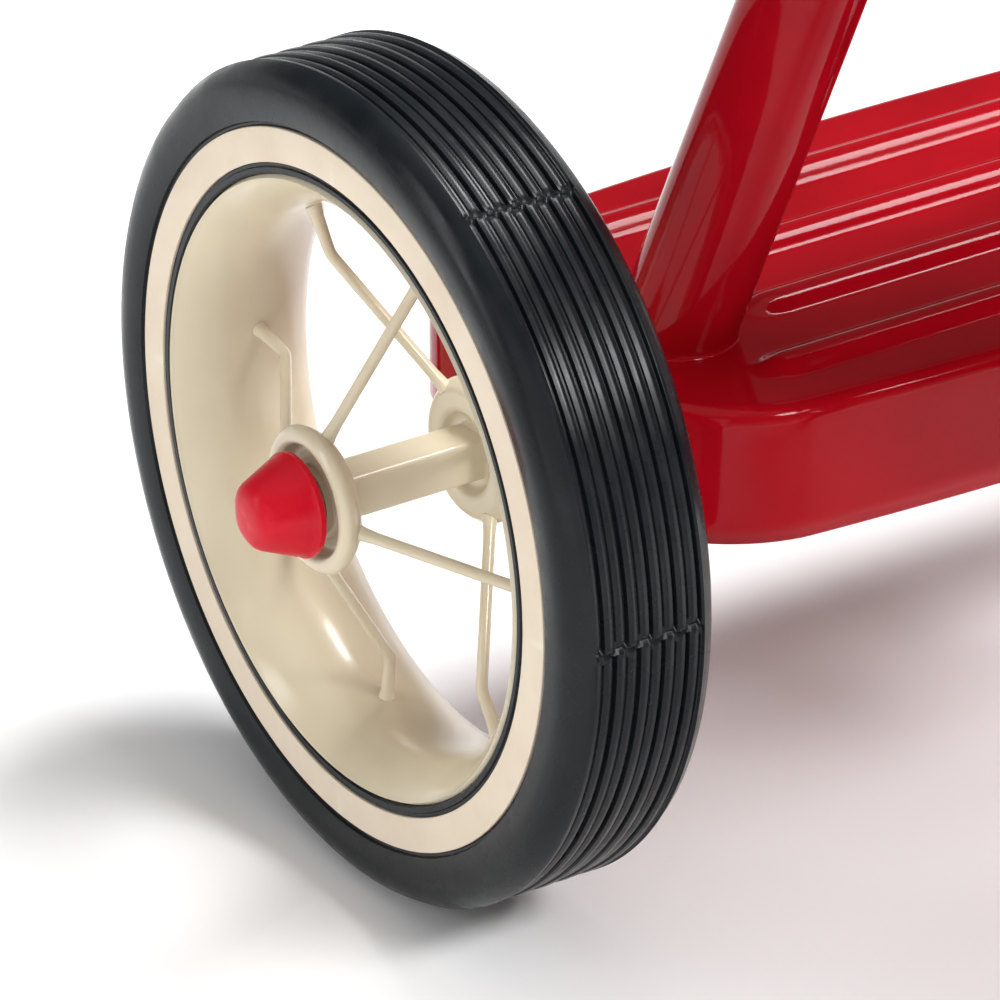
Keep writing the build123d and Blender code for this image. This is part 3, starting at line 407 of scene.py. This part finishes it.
def tread_drop(out, degrees):
    """Depth of the tread below its crown: high and low ribs between fine grooves."""
    seam = (degrees - FIRST_SEAM) / (360 / TREAD_SEAMS)
    shift = 0.5 if int(seam // 1) % 2 else 0.0
    place = (out / RIB_PITCH + shift) % 1.0
    near_seam = abs(seam - round(seam)) * 360 / TREAD_SEAMS < SEAM_HALF
    if near_seam:
        return SEAM_RIB_DROP if place < 0.5 else SEAM_GROOVE
    if place < HIGH_RIB + RIB_SHARE:
        return HIGH_ROUND * abs(place - HIGH_RIB) / RIB_SHARE
    if place < LOW_RIB - RIB_SHARE:
        return DEEP_GROOVE
    if place < LOW_RIB + RIB_SHARE:
        return LOW_RIB_DROP + LOW_ROUND * abs(place - LOW_RIB) / RIB_SHARE
    return SHALLOW_GROOVE


def tread_profile(wheel):
    """Evenly spaced points across the tread; `tread_shape` cuts the ribs into them."""
    return [(wheel.tread_x * (2 * k / TREAD_STEPS - 1), wheel.tyre_r)
            for k in range(TREAD_STEPS + 1)]


def shoulder(wheel, end):
    """Outline from the white band's outer edge to the tread, on one side of the tyre."""
    band_r = wheel.band[1]
    top = wheel.tyre_r
    height = top - band_r
    return [(end * (wheel.side_x - 0.6), band_r + 0.2),
            (end * (wheel.side_x - 0.4), band_r + 0.9),
            (end * (wheel.side_x + 0.4), band_r + 1.3),
            (end * (wheel.side_x + 0.6), band_r + 2.0),
            (end * (wheel.bulge_x - 0.3), band_r + height * 0.25),
            (end * wheel.bulge_x, band_r + height * 0.42),
            (end * (wheel.bulge_x - 0.1), band_r + height * 0.56),
            (end * (wheel.bulge_x - 0.9), band_r + height * 0.72),
            (end * (wheel.tread_x + 3.0), top - 1.9),
            (end * (wheel.tread_x + 1.2), top - 0.8)]


def tyre_outline(wheel, band_sides):
    """Tyre section: seat in the rim, flat sides with grooves for the white bands, tread."""
    reach = wheel.arc_r - RIM_WALL - SEAT_GAP
    centre = (0, wheel.arc_height)
    seat = arc_points(centre, reach, -90 - wheel.arc_half, -90 + wheel.arc_half, 14)
    outline = list(seat)
    for end in (1, -1):
        bead_r = seat[-1][1]
        side = [(end * (wheel.side_x - 0.5), bead_r), (end * wheel.side_x, bead_r + 0.5),
                (end * wheel.side_x, wheel.band[0] - 1.9),
                (end * (wheel.side_x - 0.5), wheel.band[0] - 1.6),
                (end * (wheel.side_x - 0.5), wheel.band[0] - 0.8)]
        if end in band_sides:
            side += [(end * (wheel.side_x - 1.2), wheel.band[0] - 0.7),
                     (end * (wheel.side_x - 1.2), wheel.band[1] + 0.1)]
        side += shoulder(wheel, end)
        if end == 1:
            outline += side + list(reversed(tread_profile(wheel)))
        else:
            outline += list(reversed(side))
    return outline


def tread_shape(wheel):
    """Height change of the tyre's outline at each place round it."""
    def change(out, radius, angle):
        if radius < wheel.tyre_r - 0.01 or abs(out) > wheel.tread_x - 0.2:
            return 0.0
        return -tread_drop(out, angle * 180 / pi)
    return change


def band_outline(wheel):
    """White ring that stands a little proud of the tyre's side."""
    inner, outer = wheel.band[0] - 0.6, wheel.band[1]
    back = wheel.side_x - 1.1
    face = wheel.side_x + 0.15
    return rounded([(back, inner), (face, inner), (face, outer), (back, outer)], 0.35)


def rim_outline(wheel):
    """Swelling channel with a rolled edge at each side."""
    centre = (0, wheel.arc_height)
    half = wheel.arc_half
    inner = arc_points(centre, wheel.arc_r, -90 - half, -90 + half, 30)
    outer = arc_points(centre, wheel.arc_r - RIM_WALL, -90 + half, -90 - half, 30)

    def rolled(points, sign):
        end_x, end_r = points[-1]
        return points[:-1] + [(end_x - sign * 0.3, end_r - 0.25),
                              (end_x + sign * 0.18, end_r + 0.1)]

    return rolled(inner, 1) + rolled(outer, -1)


def wheel_point(centre, side, out, radius, angle):
    """Place on a wheel: out from its middle plane, at a radius and an angle in degrees."""
    turn = radians(angle)
    return centre + Vector((side * out, radius * cos(turn), radius * sin(turn))) * MM


def spoke_parts(wheel, centre, side):
    """Wires from each flange in turn, flared where they are welded at both ends."""
    parts = []
    root_back = FLANGE_T + SPOKE_R - SPOKE_SINK
    roots = (wheel.outer_x - root_back, root_back - wheel.inner_x)
    root_r = (wheel.recess_r + wheel.flange_r) / 2
    for index in range(wheel.spokes):
        angle = FIRST_SPOKE + index * 360 / wheel.spokes
        corners = [wheel_point(centre, side, roots[index % 2], root_r, angle),
                   wheel_point(centre, side, 0, wheel.bend_r, angle),
                   wheel_point(centre, side, 0, wheel.waist_r - 0.05, angle)]
        path = bent_path(corners, SPOKE_BEND * MM)
        # Short steps at both ends, where the weld makes the wire thicker.
        path.insert(1, path[0].lerp(path[1], 0.05))
        path.insert(2, path[0].lerp(path[2], 0.12))
        path.insert(-1, path[-1].lerp(path[-2], 0.25))
        radii = [SPOKE_R * MM] * len(path)
        for place, flare in ((0, 1.4), (1, 1.15), (-2, 1.15), (-1, 1.45)):
            radii[place] = flare * SPOKE_R * MM
        parts.append(tube(path, radii))
    return parts


def flange_outline(wheel, face_x, end):
    """Dished cup, rolled over at its rim."""
    dish = 2.6
    back = face_x - FLANGE_T
    lip = face_x + 2.4
    outer = wheel.flange_r + 0.4
    hole = wheel.bush_r + 0.05
    bottom = face_x - dish
    land = wheel.recess_r - 4.6
    ring = [(end * back, hole), (end * back, land - 1.0), (end * (back - dish), land + 1.0),
            (end * (back - dish), outer - 2.4), (end * (back + 0.4), outer),
            (end * (lip - 1.4), outer), (end * lip, outer - 1.6),
            (end * lip, wheel.recess_r + 0.6), (end * (lip - 1.2), wheel.recess_r - 0.4),
            (end * bottom, wheel.recess_r - 1.2), (end * bottom, land + 0.8),
            (end * face_x, land - 0.4), (end * face_x, hole)]
    outline = rounded(ring, 1.2)
    return outline if end > 0 else list(reversed(outline))


def barrel_parts(wheel, centre, side):
    """Square tube with round corners between the flanges."""
    half = wheel.barrel / 2
    start = FLANGE_T - wheel.inner_x
    end = wheel.outer_x - FLANGE_T
    corners = rounded([(-half, -half), (half, -half), (half, half), (-half, half)], 1.4, 5)
    rings = [[centre + Vector((side * out, y, z)) * MM for y, z in corners]
             for out in (start, (start + end) / 2, end)]
    if side < 0:
        rings.reverse()
    return loft(rings, True)


def make_wheel(prefix, wheel, side, body, band_sides, band_node):
    """All the skins of one wheel, whose outer face looks to the given side."""
    centre = middle(f"{prefix}_tyre")
    tyre = lathe(centre, side, tyre_outline(wheel, band_sides), TYRE_SEGMENTS, tread_shape(wheel))
    new_piece(f"{prefix}_tyre_skin", *tyre, [f"{prefix}_tyre"], body)
    bands = join([lathe(centre, side * end, band_outline(wheel), RING_SEGMENTS)
                  for end in band_sides])
    new_piece(f"{prefix}_band_skin", *bands, [band_node], body)
    rim = lathe(centre, side, rim_outline(wheel), RING_SEGMENTS)
    new_piece(f"{prefix}_rim_skin", *rim, [f"{prefix}_rim"], body)
    new_piece(f"{prefix}_spoke_wires", *join(spoke_parts(wheel, centre, side)),
              [f"{prefix}_spokes"], body)
    flanges = join([lathe(centre, side, flange_outline(wheel, face_x, end), HUB_SEGMENTS)
                    for face_x, end in ((wheel.outer_x, 1), (wheel.inner_x, -1))])
    new_piece(f"{prefix}_flange_cups", *flanges, [f"{prefix}_hub_flanges"], body)
    new_piece(f"{prefix}_barrel_skin", *barrel_parts(wheel, centre, side),
              [f"{prefix}_hub_barrel"], body)


CAP_L = 15.0
CAP_BORE_R = 9.5
CAP_TAPER = 4.6  # how much the radius falls from the base to the nose
CAP_DENT = 0.7


def make_cap(side_name, side):
    """Moulded axle cap: a round-nosed cone with a soft lip at its base."""
    centre = middle(f"rear_{side_name}_tyre")
    base = half_size(f"{side_name}_axle_cap").y / MM
    start = abs(middle(f"{side_name}_axle_cap").x - centre.x) / MM - CAP_L / 2
    nose = base - CAP_TAPER
    profile = [(start, CAP_BORE_R), (start, base - 0.4), (start + 0.4, base + 0.1),
               (start + 1.7, base + 0.1), (start + 2.3, base - 0.5), (start + 4.0, base - 1.0),
               (start + 8.0, base - 2.6), (start + 12.0, nose + 0.4), (start + 13.4, nose - 0.5),
               (start + 14.4, nose - 1.8), (start + 14.9, nose - 3.4), (start + 15.1, 2.0),
               (start + 15.1, 0.01), (start + 4.0, 0.01), (start + 3.0, 8.0)]

    def dent(out, radius, angle):
        """Soft hollows around the nose."""
        share = max(0.0, min(1.0, (out - start - 5) / 6))
        wave = 0.5 + 0.3 * cos(3 * angle + 0.6) + 0.2 * cos(5 * angle)
        return -CAP_DENT * share * wave if radius > 3 else 0.0

    new_piece(f"{side_name}_cap_skin", *lathe(centre, side, profile, HUB_SEGMENTS, dent),
              [f"{side_name}_axle_cap"], "frame")


# ---- Decks ----
SHEET = 1.5 * MM
DECK_BOW = 8.5 * MM
DECK_EDGE = 4.5 * MM
DECK_ROWS = 150
RIB_RISE = 3.0 * MM
RIB_REACH = 7.6 * MM
RIB_HALF = 6.5 * MM


def rib_height(x, y, ribs):
    """Raised beads with round crests and rounded ends."""
    best = 0.0
    for rib_y, half_length in ribs:
        past = max(0.0, abs(x) - (half_length - RIB_HALF))
        away = hypot(past * 0.8, y - rib_y)
        if away < RIB_REACH:
            share = away / RIB_REACH
            best = max(best, RIB_RISE * (1 - share**2.4) ** 2)
    return best


def edge_y(x, half_w, half_d, corner_r):
    """Bowed rear edge of a deck's flat top at a place across it; the front is its mirror."""
    bow_r = (half_w**2 + DECK_BOW**2) / (2 * DECK_BOW)
    flat_d = half_d - DECK_EDGE
    y = flat_d - (bow_r - sqrt(max(0.0, bow_r**2 - x * x)))
    start = half_w - corner_r
    if abs(x) > start:
        small = corner_r - DECK_EDGE
        over = min(abs(x) - start, small)
        base = flat_d - (bow_r - sqrt(bow_r**2 - start * start)) - small
        y = min(y, base + sqrt(small**2 - over**2))
    return y


def deck_columns(half_w, corner_r):
    """Places across the deck, closer together round the corners."""
    flat = half_w - corner_r
    steps = 72
    columns = [-flat + 2 * flat * k / steps for k in range(steps + 1)]
    turns = 26
    beyond = [flat + (corner_r - DECK_EDGE) * sin(pi / 2 * k / turns)
              for k in range(1, turns + 1)]
    return [-x for x in reversed(beyond)] + columns + beyond


def deck_top(node, corner_radii, ribs):
    """Columns of points over the ribbed top, each from the front edge to the rear one."""
    centre, half = middle(node), half_size(node)
    top_z = centre.z + half.z - RIB_RISE
    front_r, rear_r = corner_radii
    columns = []
    for x in deck_columns(half.x, front_r):
        front = -edge_y(x, half.x, half.y, front_r)
        rear = edge_y(x, half.x, half.y, rear_r)
        places = [front + (rear - front) * row / DECK_ROWS for row in range(DECK_ROWS + 1)]
        columns.append([Vector((x, centre.y + y, top_z + rib_height(x, y, ribs)))
                        for y in places])
    return columns


def grid_faces(columns, width):
    """Faces between neighbouring columns of points, with as many points as the width."""
    return [(first, first + width, first + width + 1, first + 1)
            for column in range(columns - 1)
            for first in range(column * width, (column + 1) * width - 1)]


def grid_border(columns, width):
    """Border of a grid of points: front edge, one end, rear edge and the other end."""
    last = columns - 1
    border = [column * width for column in range(columns)]
    border += [last * width + row for row in range(1, width)]
    border += [column * width + width - 1 for column in range(last - 1, -1, -1)]
    border += list(range(width - 2, 0, -1))
    return border


def level_normals(points):
    """Level directions away from a closed loop of points."""
    normals = []
    for index in range(len(points)):
        along = points[(index + 2) % len(points)] - points[index - 2]
        normals.append(Vector((along.y, -along.x, 0)).normalized())
    return normals


def skirt_steps(skirt):
    """How far out and down the deck's rolled edge and skirt go, step by step."""
    turns, levels = 6, 5
    steps = [(DECK_EDGE * sin(pi / 2 * k / turns), DECK_EDGE * (1 - cos(pi / 2 * k / turns)))
             for k in range(1, turns + 1)]
    return steps + [(DECK_EDGE, DECK_EDGE + (skirt - DECK_EDGE) * k / levels)
                    for k in range(1, levels + 1)]


def thicken(piece):
    """Give a skin its sheet thickness, inwards."""
    sheet = piece.modifiers.new("sheet", "SOLIDIFY")
    sheet.thickness = SHEET
    sheet.offset = -1.0


def make_deck(node, corner_radii, ribs, notch_half, deeper):
    """Pressed deck: ribbed top, rolled edge, skirt, and a notch for the tube below."""
    centre, half = middle(node), half_size(node)
    bottom_z = centre.z - half.z
    top_z = centre.z + half.z - RIB_RISE
    columns = deck_top(node, corner_radii, ribs)
    points = [point for column in columns for point in column]
    faces = grid_faces(len(columns), DECK_ROWS + 1)
    ring = grid_border(len(columns), DECK_ROWS + 1)
    border = [points[index] for index in ring]
    outward = level_normals(border)
    for out, drop in skirt_steps(top_z - bottom_z + deeper):
        fresh = list(range(len(points), len(points) + len(border)))
        for place, normal in zip(border, outward):
            point = place + normal * out
            point.z = top_z - drop
            points.append(point)
        for index in range(len(border)):
            before = index - 1
            faces.append((ring[index], ring[before], fresh[before], fresh[index]))
        ring = fresh
    piece = new_piece(f"{node}_skin", points, faces, [node], "frame", 60.0)
    thicken(piece)
    notch_top = top_z - SHEET - 0.2 * MM
    apply_cut(piece, box_cutter(centre.x, centre.y - half.y, notch_half, notch_top, bottom_z))


def box_cutter(x, y, half_w, top, bottom):
    """Temporary block that removes the notch in a deck's front skirt."""
    reach = 16 * MM
    corners = [(sx * half_w + x, y + sy * reach, z) for z in (bottom - 0.01, top)
               for sx, sy in ((-1, -1), (1, -1), (1, 1), (-1, 1))]
    mesh = bpy.data.meshes.new("notch")
    mesh.from_pydata(corners, [], [(3, 2, 1, 0), (4, 5, 6, 7), (0, 1, 5, 4), (1, 2, 6, 5),
                                   (2, 3, 7, 6), (3, 0, 4, 7)])
    block = bpy.data.objects.new("notch", mesh)
    bpy.context.scene.collection.objects.link(block)
    return block


def apply_cut(piece, cutter):
    """Apply the piece's modifiers with the cutter taken away, then delete the cutter."""
    cut = piece.modifiers.new("notch", "BOOLEAN")
    cut.operation = "DIFFERENCE"
    cut.object = cutter
    bpy.context.view_layer.update()
    depsgraph = bpy.context.evaluated_depsgraph_get()
    mesh = bpy.data.meshes.new_from_object(piece.evaluated_get(depsgraph))
    piece.modifiers.clear()
    piece.data = mesh
    bpy.data.objects.remove(cutter)


def make_decks():
    """Both decks; each rib has its place from front to rear and its half length."""
    pitch = 29.0 * MM
    lower_ribs = [(-1.5 * pitch, 102 * MM), (-0.5 * pitch, 87 * MM), (0.5 * pitch, 87 * MM),
                  (1.5 * pitch, 102 * MM)]
    make_deck("lower_deck", corner_radii=(46 * MM, 22 * MM), ribs=lower_ribs,
              notch_half=20.5 * MM, deeper=3.0 * MM)
    pitch = 32.0 * MM
    upper_ribs = [(-pitch, 62 * MM), (0.0, 78 * MM), (pitch, 78 * MM)]
    make_deck("upper_deck", corner_radii=(26 * MM, 26 * MM), ribs=upper_ribs,
              notch_half=16.5 * MM, deeper=0.0)


# ---- Legs ----
LEG_R = 15.0 * MM
LEG_LEAN = (0.20, 0.26)  # inwards and forwards for each unit of height
LEG_SIDES = 64
WELD_FILLET = 0.8 * MM


def make_leg(side_name, side):
    """Round tube between the decks, with a small weld fillet at its foot and top."""
    centre, half = middle(f"{side_name}_leg"), half_size(f"{side_name}_leg")
    lean = Vector((-side * LEG_LEAN[0], -LEG_LEAN[1], 1.0))
    foot = centre - lean * half.z
    along = lean.normalized()
    across = along.orthogonal().normalized()
    other = along.cross(across)
    length = 2 * half.z
    weld = [(0.0, 1.0), (0.3 * MM, 0.6), (0.9 * MM, 0.25), (2.0 * MM, 0.05), (3.0 * MM, 0.0)]
    stations = weld + [(length * k / 6, 0.0) for k in range(1, 6)]
    stations += [(length - height, share / 2) for height, share in reversed(weld)]
    rings = []
    for height, share in stations:
        ring = []
        for k in range(LEG_SIDES):
            turn = 2 * pi * k / LEG_SIDES
            spoke = (across * cos(turn) + other * sin(turn)) * (LEG_R + WELD_FILLET * share)
            ring.append(foot + spoke + lean * (height - spoke.z))
        rings.append(ring)
    new_piece(f"{side_name}_leg_tube", *loft(rings, True), [f"{side_name}_leg"], "frame")


# ---- Seat ----
SEAT_NOSE = 39.0 * MM  # half width at the nose
SEAT_EDGE = 8.0 * MM
SEAT_SIDES = 180
PAN_LEVELS = (0.03, 0.15, 0.3, 0.45, 0.6, 0.72, 0.82, 0.9, 0.95)
EDGE_TURNS, SKIRT_LEVELS = 8, 4


def seat_outline(turn, half_w, half_l):
    """Half width along the seat, from a rounded nose to a broad round back."""
    y = -cos(turn) * half_l
    share = (y + half_l) / (2 * half_l)
    grow = share * share * (3 - 2 * share)
    width = SEAT_NOSE + (half_w - SEAT_NOSE) * grow**0.8
    return Vector((sin(turn) * width, y, 0))


def make_seat():
    """Saddle pressed from sheet: flat middle, edge that rises to the back, and a skirt."""
    centre, half = middle("seat"), half_size("seat")
    skirt = 2 * half.z

    def ring(size, drop, lift):
        """The outline at a share of its size, with a share of the edge's rise."""
        points = []
        for k in range(SEAT_SIDES):
            place = seat_outline(2 * pi * k / SEAT_SIDES, half.x, half.y) * size
            rise = (1.0 + 3.0 * max(0.0, place.y / half.y) ** 2) * MM
            points.append(centre + place + Vector((0, 0, half.z - drop + rise * lift)))
        return points

    rings = [ring(level, 0.0, level**2) for level in PAN_LEVELS]
    for k in range(1, EDGE_TURNS + SKIRT_LEVELS + 1):
        turn = min(k, EDGE_TURNS) / EDGE_TURNS * pi / 2
        size = 1 - (SEAT_EDGE / half.x) * (1 - sin(turn)) * 0.5
        down = max(0, k - EDGE_TURNS) / SKIRT_LEVELS
        drop = SEAT_EDGE * (1 - cos(turn)) + (skirt - SEAT_EDGE - 0.5 * MM) * down
        rings.append(ring(size, drop, 1 - drop / skirt))
    points, faces = loft(rings, False)
    faces = [tuple(reversed(face)) for face in faces]
    faces.append(tuple(range(SEAT_SIDES)))
    thicken(new_piece("seat_skin", points, faces, ["seat"], "frame", 70.0))


# ---- Grips ----
GRIP_L = 104.0 * MM
GRIP_ALONG = (73.0, 112.0, -8.0)  # which way a grip points: outwards, back and down
GRIP_RINGS = 9
GRIP_STEPS = 90
GRIP_R, GRIP_RING = 13.2, 0.9  # between the finger rings, and how much they stand out
COLLAR_R, COLLAR_END = 14.5, 0.06
NOSE_R, NOSE_START = 14.3, 0.95


def grip_radius(share):
    """Radius in millimetres at a share of the grip's length."""
    if share < COLLAR_END:
        return COLLAR_R
    if share > NOSE_START:
        rounding = (share - NOSE_START) / (1 - NOSE_START)
        return NOSE_R * sqrt(1 - 0.6 * rounding**2)
    return GRIP_R + GRIP_RING * cos(2 * pi * GRIP_RINGS * share) ** 2


def make_grip(side_name, side):
    """Vinyl grip with finger rings and a rounded end."""
    out, back, down = GRIP_ALONG
    along = Vector((side * out, back, down)).normalized()
    start = middle(f"{side_name}_grip") - along * GRIP_L / 2
    shares = [k / GRIP_STEPS for k in range(GRIP_STEPS + 1)]
    path = [start + along * GRIP_L * share for share in shares]
    radii = [grip_radius(share) * MM for share in shares]
    new_piece(f"{side_name}_grip_skin", *tube(path, radii, 40), [f"{side_name}_grip"],
              "steering", 80.0)


# ---- Stage ----
def make_stage():
    """Plain pale paper floor."""
    mesh = bpy.data.meshes.new("floor")
    reach = 6.0
    mesh.from_pydata([(-reach, -reach, 0), (reach, -reach, 0), (reach, reach, 0),
                      (-reach, reach, 0)], [], [(0, 1, 2, 3)])
    floor = bpy.data.objects.new("floor", mesh)
    bpy.context.scene.collection.objects.link(floor)
    n = Nodes("floor_paper")
    paper = n.mix(n.noise(3.0), (0.93, 0.93, 0.93), (0.90, 0.90, 0.90))
    mesh.materials.append(n.finish(paper, n.spread(n.noise(8.0), 0.75, 0.85)))


LIGHT_TARGET = (0.0, 0.2, 0.15)
LIGHTS = (  # name, place, width and height, power
    ("overhead_box", (0.72, 0.42, 1.85), (0.6, 0.9), 42),
    ("front_top_box", (0.35, -1.1, 1.35), (0.9, 0.35), 38),
    ("front_box", (-2.4, -1.2, 0.9), (2.4, 2.4), 18),
    ("side_box", (-2.0, 0.9, 0.9), (0.4, 1.4), 10),
)
HORIZON, ZENITH = (1.0, 1.0, 1.0, 1.0), (0.9, 0.9, 0.92, 1.0)
WALL_LEVELS = ((0.08, 1.0), (0.20, 0.16), (0.70, 0.14), (0.88, 0.8))  # height, brightness


def area_light(name, place, size, power):
    """Soft box that faces the tricycle."""
    light = bpy.data.lights.new(name, "AREA")
    light.shape = "RECTANGLE"
    light.size, light.size_y = size
    light.energy = power
    lamp = bpy.data.objects.new(name, light)
    lamp.location = place
    away = Vector(place) - Vector(LIGHT_TARGET)
    lamp.rotation_euler = away.to_track_quat("Z", "Y").to_euler()
    bpy.context.scene.collection.objects.link(lamp)


def make_world():
    """Studio walls: bright near the horizon, darker above, so that enamel shows streaks."""
    world = bpy.data.worlds.new("studio")
    world.use_nodes = True
    bpy.context.scene.world = world
    tree = world.node_tree
    place = tree.nodes.new("ShaderNodeTexCoord")
    split = tree.nodes.new("ShaderNodeSeparateXYZ")
    ramp = tree.nodes.new("ShaderNodeValToRGB")
    tree.links.new(place.outputs["Generated"], split.inputs["Vector"])
    tree.links.new(split.outputs["Z"], ramp.inputs["Fac"])
    tree.links.new(ramp.outputs["Color"], tree.nodes["Background"].inputs["Color"])
    stops = ramp.color_ramp.elements
    stops[0].color = HORIZON
    stops[1].color = ZENITH
    for height, level in WALL_LEVELS:
        stops.new(height).color = (level, level, level, 1.0)
    tree.nodes["Background"].inputs["Strength"].default_value = 1.0


def make_lights():
    """Soft boxes above, in front and at the side."""
    for name, place, size, power in LIGHTS:
        area_light(name, place, size, power)


# ---- Whole scene ----
make_camera()
paint_cad_nodes()
make_wheel("rear_left", REAR, 1, "rear_left_wheel", (1,), "rear_left_whitewall")
make_wheel("rear_right", REAR, -1, "rear_right_wheel", (1,), "rear_right_whitewall")
make_wheel("front", FRONT, 1, "front_wheel", (-1, 1), "front_whitewalls")
for side_name, side in (("left", 1), ("right", -1)):
    make_cap(side_name, side)
    make_leg(side_name, side)
    make_grip(side_name, side)
make_decks()
make_seat()
make_stage()
make_world()
make_lights()
